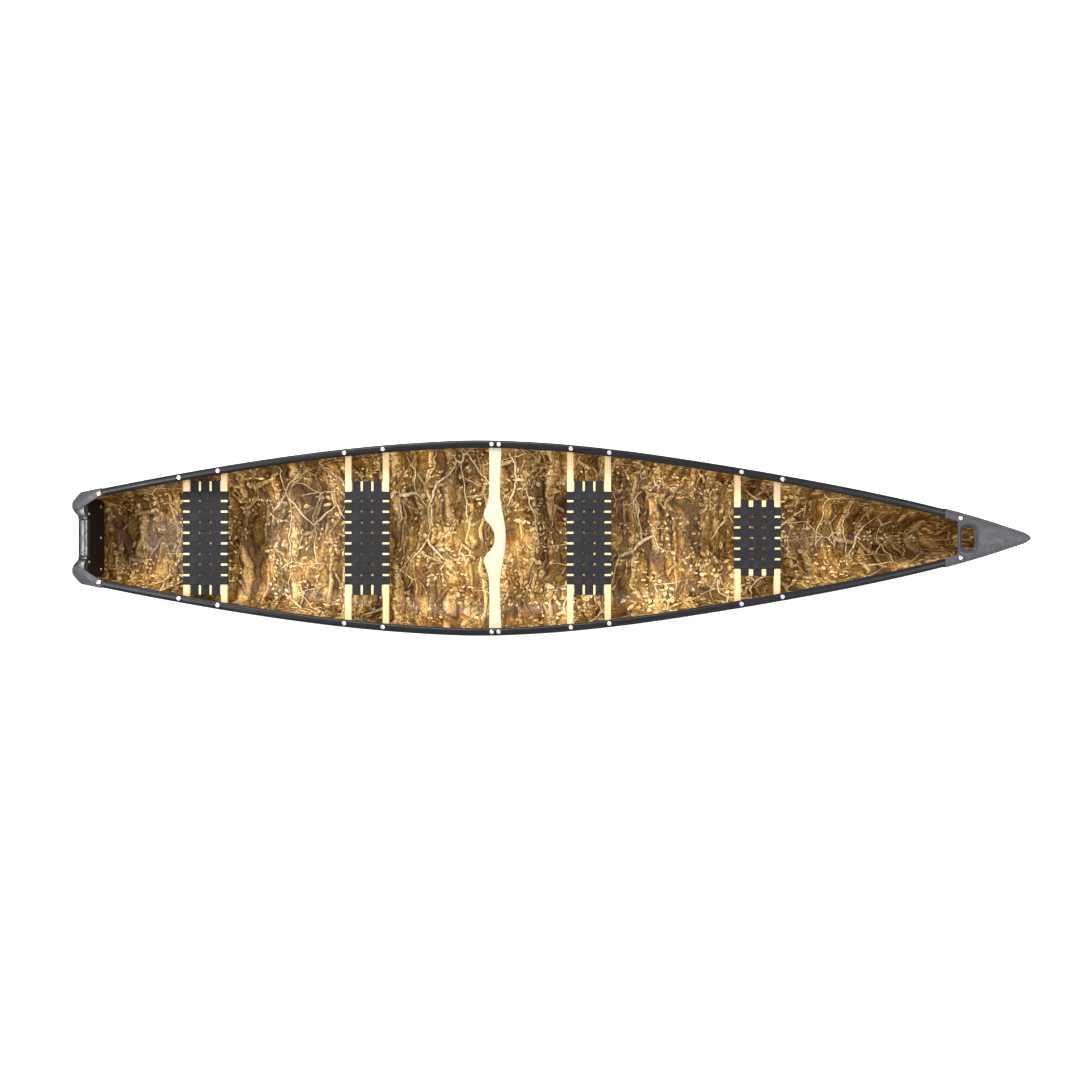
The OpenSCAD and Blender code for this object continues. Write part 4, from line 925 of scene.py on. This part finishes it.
def seat(name, x0, span, n, pitch, bar_w):
    """A woven seat: two rails, two bars, n long straps, three cross straps and four dowels."""
    top = sheer(x0) - SEAT_DROP
    z = top - RAIL_T
    for label, end in (("aft", -1), ("fore", 1)):
        x = x0 + end * span / 2
        a, b = x - RAIL_W / 2, x + RAIL_W / 2
        ya, yb = inside(a, z) - RAIL_TO_SKIN, inside(b, z) - RAIL_TO_SKIN
        rail = Shape()
        slab(rail, [(a, -ya), (b, -yb), (b, yb), (a, ya)], z, top, 2.6)
        rail.piece(f"{name}_rail_{label}_wood", ASH_Y, "ash", [f"{name}_rail_{label}"])
    long_half = ((n - 1) * LONG_PITCH + WEB_W) / 2
    reach = (span - RAIL_W - RAIL_GAP) / 2
    for label, side in (("port", 1), ("starboard", -1)):
        y0, y1 = sorted((side * (long_half + BAR_TO_WEB), side * (long_half + BAR_TO_WEB + bar_w)))
        bar = Shape()
        slab(bar, [(x0 - reach, y0), (x0 + reach, y0), (x0 + reach, y1), (x0 - reach, y1)],
             z, top - BAR_SINK, 2.2)
        bar.piece(f"{name}_bar_{label}_wood", ASH_X, "ash", [f"{name}_bar_{label}"])
    # Weave: each crossing lifts one strap and lowers the other.
    centre, lift = TOUCH + WEB_T / 2, WEB_T / 2 + TOUCH
    long, cross = Shape(), Shape()
    xs = [-pitch, 0, pitch]
    ys = [(k - (n - 1) / 2) * LONG_PITCH for k in range(n)]
    for k, y in enumerate(ys):
        line = [(-span / 2 - RAIL_W / 2, centre), (-span / 2, centre), (-xs[-1] - WEB_W / 2 - 3, centre)]
        for j, x in enumerate(xs):
            line += over_and_under(x, -1 if (k + j + 1) % 2 == 0 else 1, centre, lift)
        line += [(-p, q) for p, q in line[:3]][::-1]
        path = folded(span / 2 + RAIL_W / 2 + FOLD_GAP, -RAIL_T - FOLD_GAP, line, centre)
        strap(long, path, lambda s, w, h, y=y: (x0 + s, y + w, top + h))
    outer = long_half + BAR_TO_WEB + bar_w
    for j, x in enumerate(xs):
        line = [(-outer, BAR_LINE), (-outer + bar_w / 2, BAR_LINE), (-long_half - 4, -1.0)]
        for k, y in enumerate(ys):
            line += over_and_under(y, 1 if (k + j + 1) % 2 == 0 else -1, centre, lift)
        line += [(-p, q) for p, q in line[:3]][::-1]
        path = folded(outer + FOLD_GAP, -RAIL_T - FOLD_GAP, line, BAR_LINE)
        strap(cross, path, lambda s, w, h, x=x: (x0 + x + w, s, top + h))
    long.piece(name + "_straps_long", WEB, "webbing", [name + "_web_long"], sharp=60)
    cross.piece(name + "_straps_cross", WEB, "webbing", [name + "_web_cross"], sharp=60)
    drops = Shape()
    for end in (-1, 1):
        x = x0 + end * span / 2
        h = sheer(x) - GUNWALE_H - HANG_GAP - DOWEL_R * tilt(x) - top - TOUCH
        narrow = DOWEL_R - DOWEL_EDGE
        profile = [(DOWEL_BORE, 0), (narrow, 0), (DOWEL_R, DOWEL_EDGE),
                   (DOWEL_R, h - DOWEL_EDGE), (narrow, h), (DOWEL_BORE, h)]
        for side in (-1, 1):
            y = side * inboard(x, BOLT_LINE)
            drops.lathe(profile, upright(x, y, top + TOUCH))
    drops.piece(name + "_dowels", ASH_Z, "ash", [name + "_drops"])


for label, facts in SEATS.items():
    seat(label, *facts)


# ---------------------------------------------------------------- yoke
YOKE_X, YOKE_T, YOKE_GAP, YOKE_ROUND, YOKE_TO_SKIN = -273, 20, 39.2, 7, 2.5
YOKE_TOP = sheer(YOKE_X) - GUNWALE_H - HANG_GAP
YOKE_FORE = [(0, 59), (78, 53), (120, 45), (177, 34.5), (227, 27.5), (300, 27), (520, 35)]
YOKE_AFT = [(0, 4.5), (28, 7), (55, 19), (73, 32), (95, 53), (115, 64), (134, 65), (161, 56), (191, 45),
            (236, 37), (295, 34.5), (520, 35)]


def yoke():
    """The carrying yoke, with its neck notch aft. YOKE_FORE and YOKE_AFT give its edges by (y, reach)."""
    half, steps = inboard(YOKE_X, SLOT_IN + YOKE_TO_SKIN), 110
    ys = [half * i / steps for i in range(steps + 1)]
    both = [-y for y in ys[:0:-1]] + ys
    outline = [(YOKE_X + spline(YOKE_FORE, abs(y)), y) for y in both]
    outline += [(YOKE_X - spline(YOKE_AFT, abs(y)), y) for y in both[::-1]]
    shape = Shape()
    slab(shape, outline, YOKE_TOP - YOKE_T, YOKE_TOP, YOKE_ROUND, steps=6, strip=True)
    shape.piece("yoke_wood", YOKE_WOOD, "ash", ["yoke"])


yoke()


# ---------------------------------------------------------------- hardware
CUP_R, RECESS, RECESS_DEPTH, ARM_HALF, SHANK, NUT_PAST = 12, 4.2, 1.5, 1.15, 3, 10


def head_z(x):
    """Where a cup washer rests on the sloping gunwale."""
    return sheer(x) + CUP_R * tilt(x) + TOUCH


def screw_head(shape, place, profile, n=32):
    """A turned head with a cross recess. profile is (radius, height) from the rim to the middle."""
    rings = []
    for r, z in profile:
        ring = []
        for i in range(n):
            a = 2 * math.pi * i / n
            u, v = r * math.cos(a), r * math.sin(a)
            arm = min(abs(u), abs(v))
            deep = smooth((RECESS - r) / 0.8) * smooth((ARM_HALF - arm) / 0.5) if r < RECESS else 0
            ring.append(place(u, v, z - RECESS_DEPTH * deep))
        rings.append(ring)
    shape.loft(rings)


HEAD = [(4.4, 1.5), (7.4, 3.2), (7.0, 3.6), (5.2, 4.2), (4.0, 4.5), (3.2, 4.6), (2.6, 4.65), (2.0, 4.7),
        (1.4, 4.7), (0.8, 4.7), (0.3, 4.7)]
CUP = [(3.5, 0), (11.6, 0), (CUP_R, 0.4), (11.8, 1.0), (11.0, 2.0), (9.8, 2.9), (9.0, 3.1), (8.2, 2.9),
       (6.5, 1.9), (5, 1.2), (3.5, 1.2)]


def bolts(name, stations):
    """Long bolts through the gunwales, down to just past the nuts under each (x, lower face)."""
    shape = Shape()
    for x, low in stations:
        for side in (-1, 1):
            place = upright(x, side * inboard(x, BOLT_LINE), head_z(x))
            screw_head(shape, place, [(SHANK, low - head_z(x) - NUT_PAST + 0.6), (SHANK, 1.3)] + HEAD)
    shape.piece(name + "_turned", STEEL, "stainless", [name])


seat_stations = [(x0 + end * span / 2, sheer(x0) - SEAT_DROP - RAIL_T)
                 for x0, span, *_ in SEATS.values() for end in (-1, 1)]
yoke_stations = [(YOKE_X + end * YOKE_GAP / 2, YOKE_TOP - YOKE_T) for end in (-1, 1)]
bolts("seat_bolts", seat_stations)
bolts("yoke_bolts", yoke_stations)

CAP_SCREW_X, CAP_SCREW_IN = -2441, 28
small_screws = {"deck_screws": (*DECK_SCREW, sheer(DECK_SCREW[0]) + PAD_TOP + TOUCH),
                "stern_cap_screws": (CAP_SCREW_X, inboard(CAP_SCREW_X, CAP_SCREW_IN), CAP_TOP + TOUCH)}
cup_seats = [(x, inboard(x, BOLT_LINE), head_z(x)) for x, _ in seat_stations + yoke_stations]
cups = Shape()
for cup_x, cup_y, cup_z in cup_seats + list(small_screws.values()):
    for side_of in (-1, 1):
        cups.lathe(CUP, upright(cup_x, side_of * cup_y, cup_z), 48)
cups.piece("cup_washers_turned", STEEL, "stainless", ["cup_washers"])

for label, (px, py, pz) in small_screws.items():
    group = Shape()
    for side_of in (-1, 1):
        screw_head(group, upright(px, side_of * py, pz), [(2, -16), (2, 1.2)] + HEAD)
    group.piece(label + "_turned", STEEL, "stainless", [label])

for label in ("transom_bolts", "transom_nuts", "yoke_washers", "yoke_nuts", "seat_washers", "seat_nuts"):
    repaint(label, STEEL)
for label in ("stiffener_port", "stiffener_starboard"):
    repaint(label, ALLOY)


# ---------------------------------------------------------------- floor, light, camera
# Each lamp: name, place, aim, width and length, power, and tint where it has one. All in metres and watts.
LAMPS = [("key", (-1.4, 4.6, 4.1), (-0.2, 0, 0.1), (3.6, 1.6), 470, (1, 0.985, 0.96)),
         ("fill", (1.5, -4.4, 4.0), (0, 0, 0.2), (4.0, 2.0), 60, (0.95, 0.975, 1)),
         ("stern_strip", (-4.2, 0.8, 5.6), (-2.0, 0.3, 0.4), (1.8, 0.25), 80),
         ("bow_strip", (4.2, 0.7, 5.6), (2.0, 0.2, 0.5), (1.4, 0.25), 60),
         ("stern_box", (-4.1, -0.3, 5.4), (-2.0, -0.1, 0.1), (0.8, 0.8), 140),
         ("bow_box", (3.2, -0.2, 5.4), (1.5, -0.1, 0.1), (0.6, 0.6), 80)]
FLOOR_SIZE, FLOOR_Z = 60, -0.001
SKY, SKY_STRENGTH = (0.97, 0.98, 1.0, 1), 0.80
CAMERA_AT, CAMERA_LENS, CAMERA_SENSOR, CAMERA_FAR = (-0.025, -0.011, 5.41), 30.2, 36, 200


def lamp(name, at, aim, size, power, tint=(1, 1, 1)):
    data = bpy.data.lights.new(name, "AREA")
    data.shape, data.size, data.size_y, data.energy, data.color = "RECTANGLE", *size, power, tint
    obj = bpy.data.objects.new(name, data)
    bpy.context.collection.objects.link(obj)
    obj.location = at
    obj.rotation_euler = (Vector(aim) - Vector(at)).to_track_quat("-Z", "Y").to_euler()


def studio():
    """A pale floor, soft area lamps, and a camera that looks straight down."""
    bpy.ops.mesh.primitive_plane_add(size=FLOOR_SIZE, location=(0, 0, FLOOR_Z))
    ground = bpy.context.object
    ground.name = "floor"
    p = Paint("floor", Roughness=0.9, Emission_Color=(1, 1, 1, 1), Emission_Strength=0.3)
    mottle = p.noise(p.place(), 3, 3)
    tone = p.mix(p.mul(mottle, 0.05), (0.93, 0.93, 0.93), (0.86, 0.86, 0.86))
    ground.data.materials.append(p.done(tone))
    ground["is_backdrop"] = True
    world = bpy.data.worlds.new("studio")
    bpy.context.scene.world = world
    world.use_nodes = True
    back = world.node_tree.nodes["Background"]
    back.inputs[0].default_value, back.inputs[1].default_value = SKY, SKY_STRENGTH
    for facts in LAMPS:
        lamp(*facts)
    view = bpy.data.cameras.new("camera")
    view.lens, view.sensor_width, view.clip_end = CAMERA_LENS, CAMERA_SENSOR, CAMERA_FAR
    camera = bpy.data.objects.new("camera", view)
    bpy.context.collection.objects.link(camera)
    camera.location = CAMERA_AT
    bpy.context.scene.camera = camera
    bpy.context.scene.view_settings.view_transform = "Standard"
    bpy.context.scene.view_settings.look = "None"


studio()


def plain(box):
    return [list(corner) for corner in box]


{"cad": plain(cad_box), "visual": plain(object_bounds())}
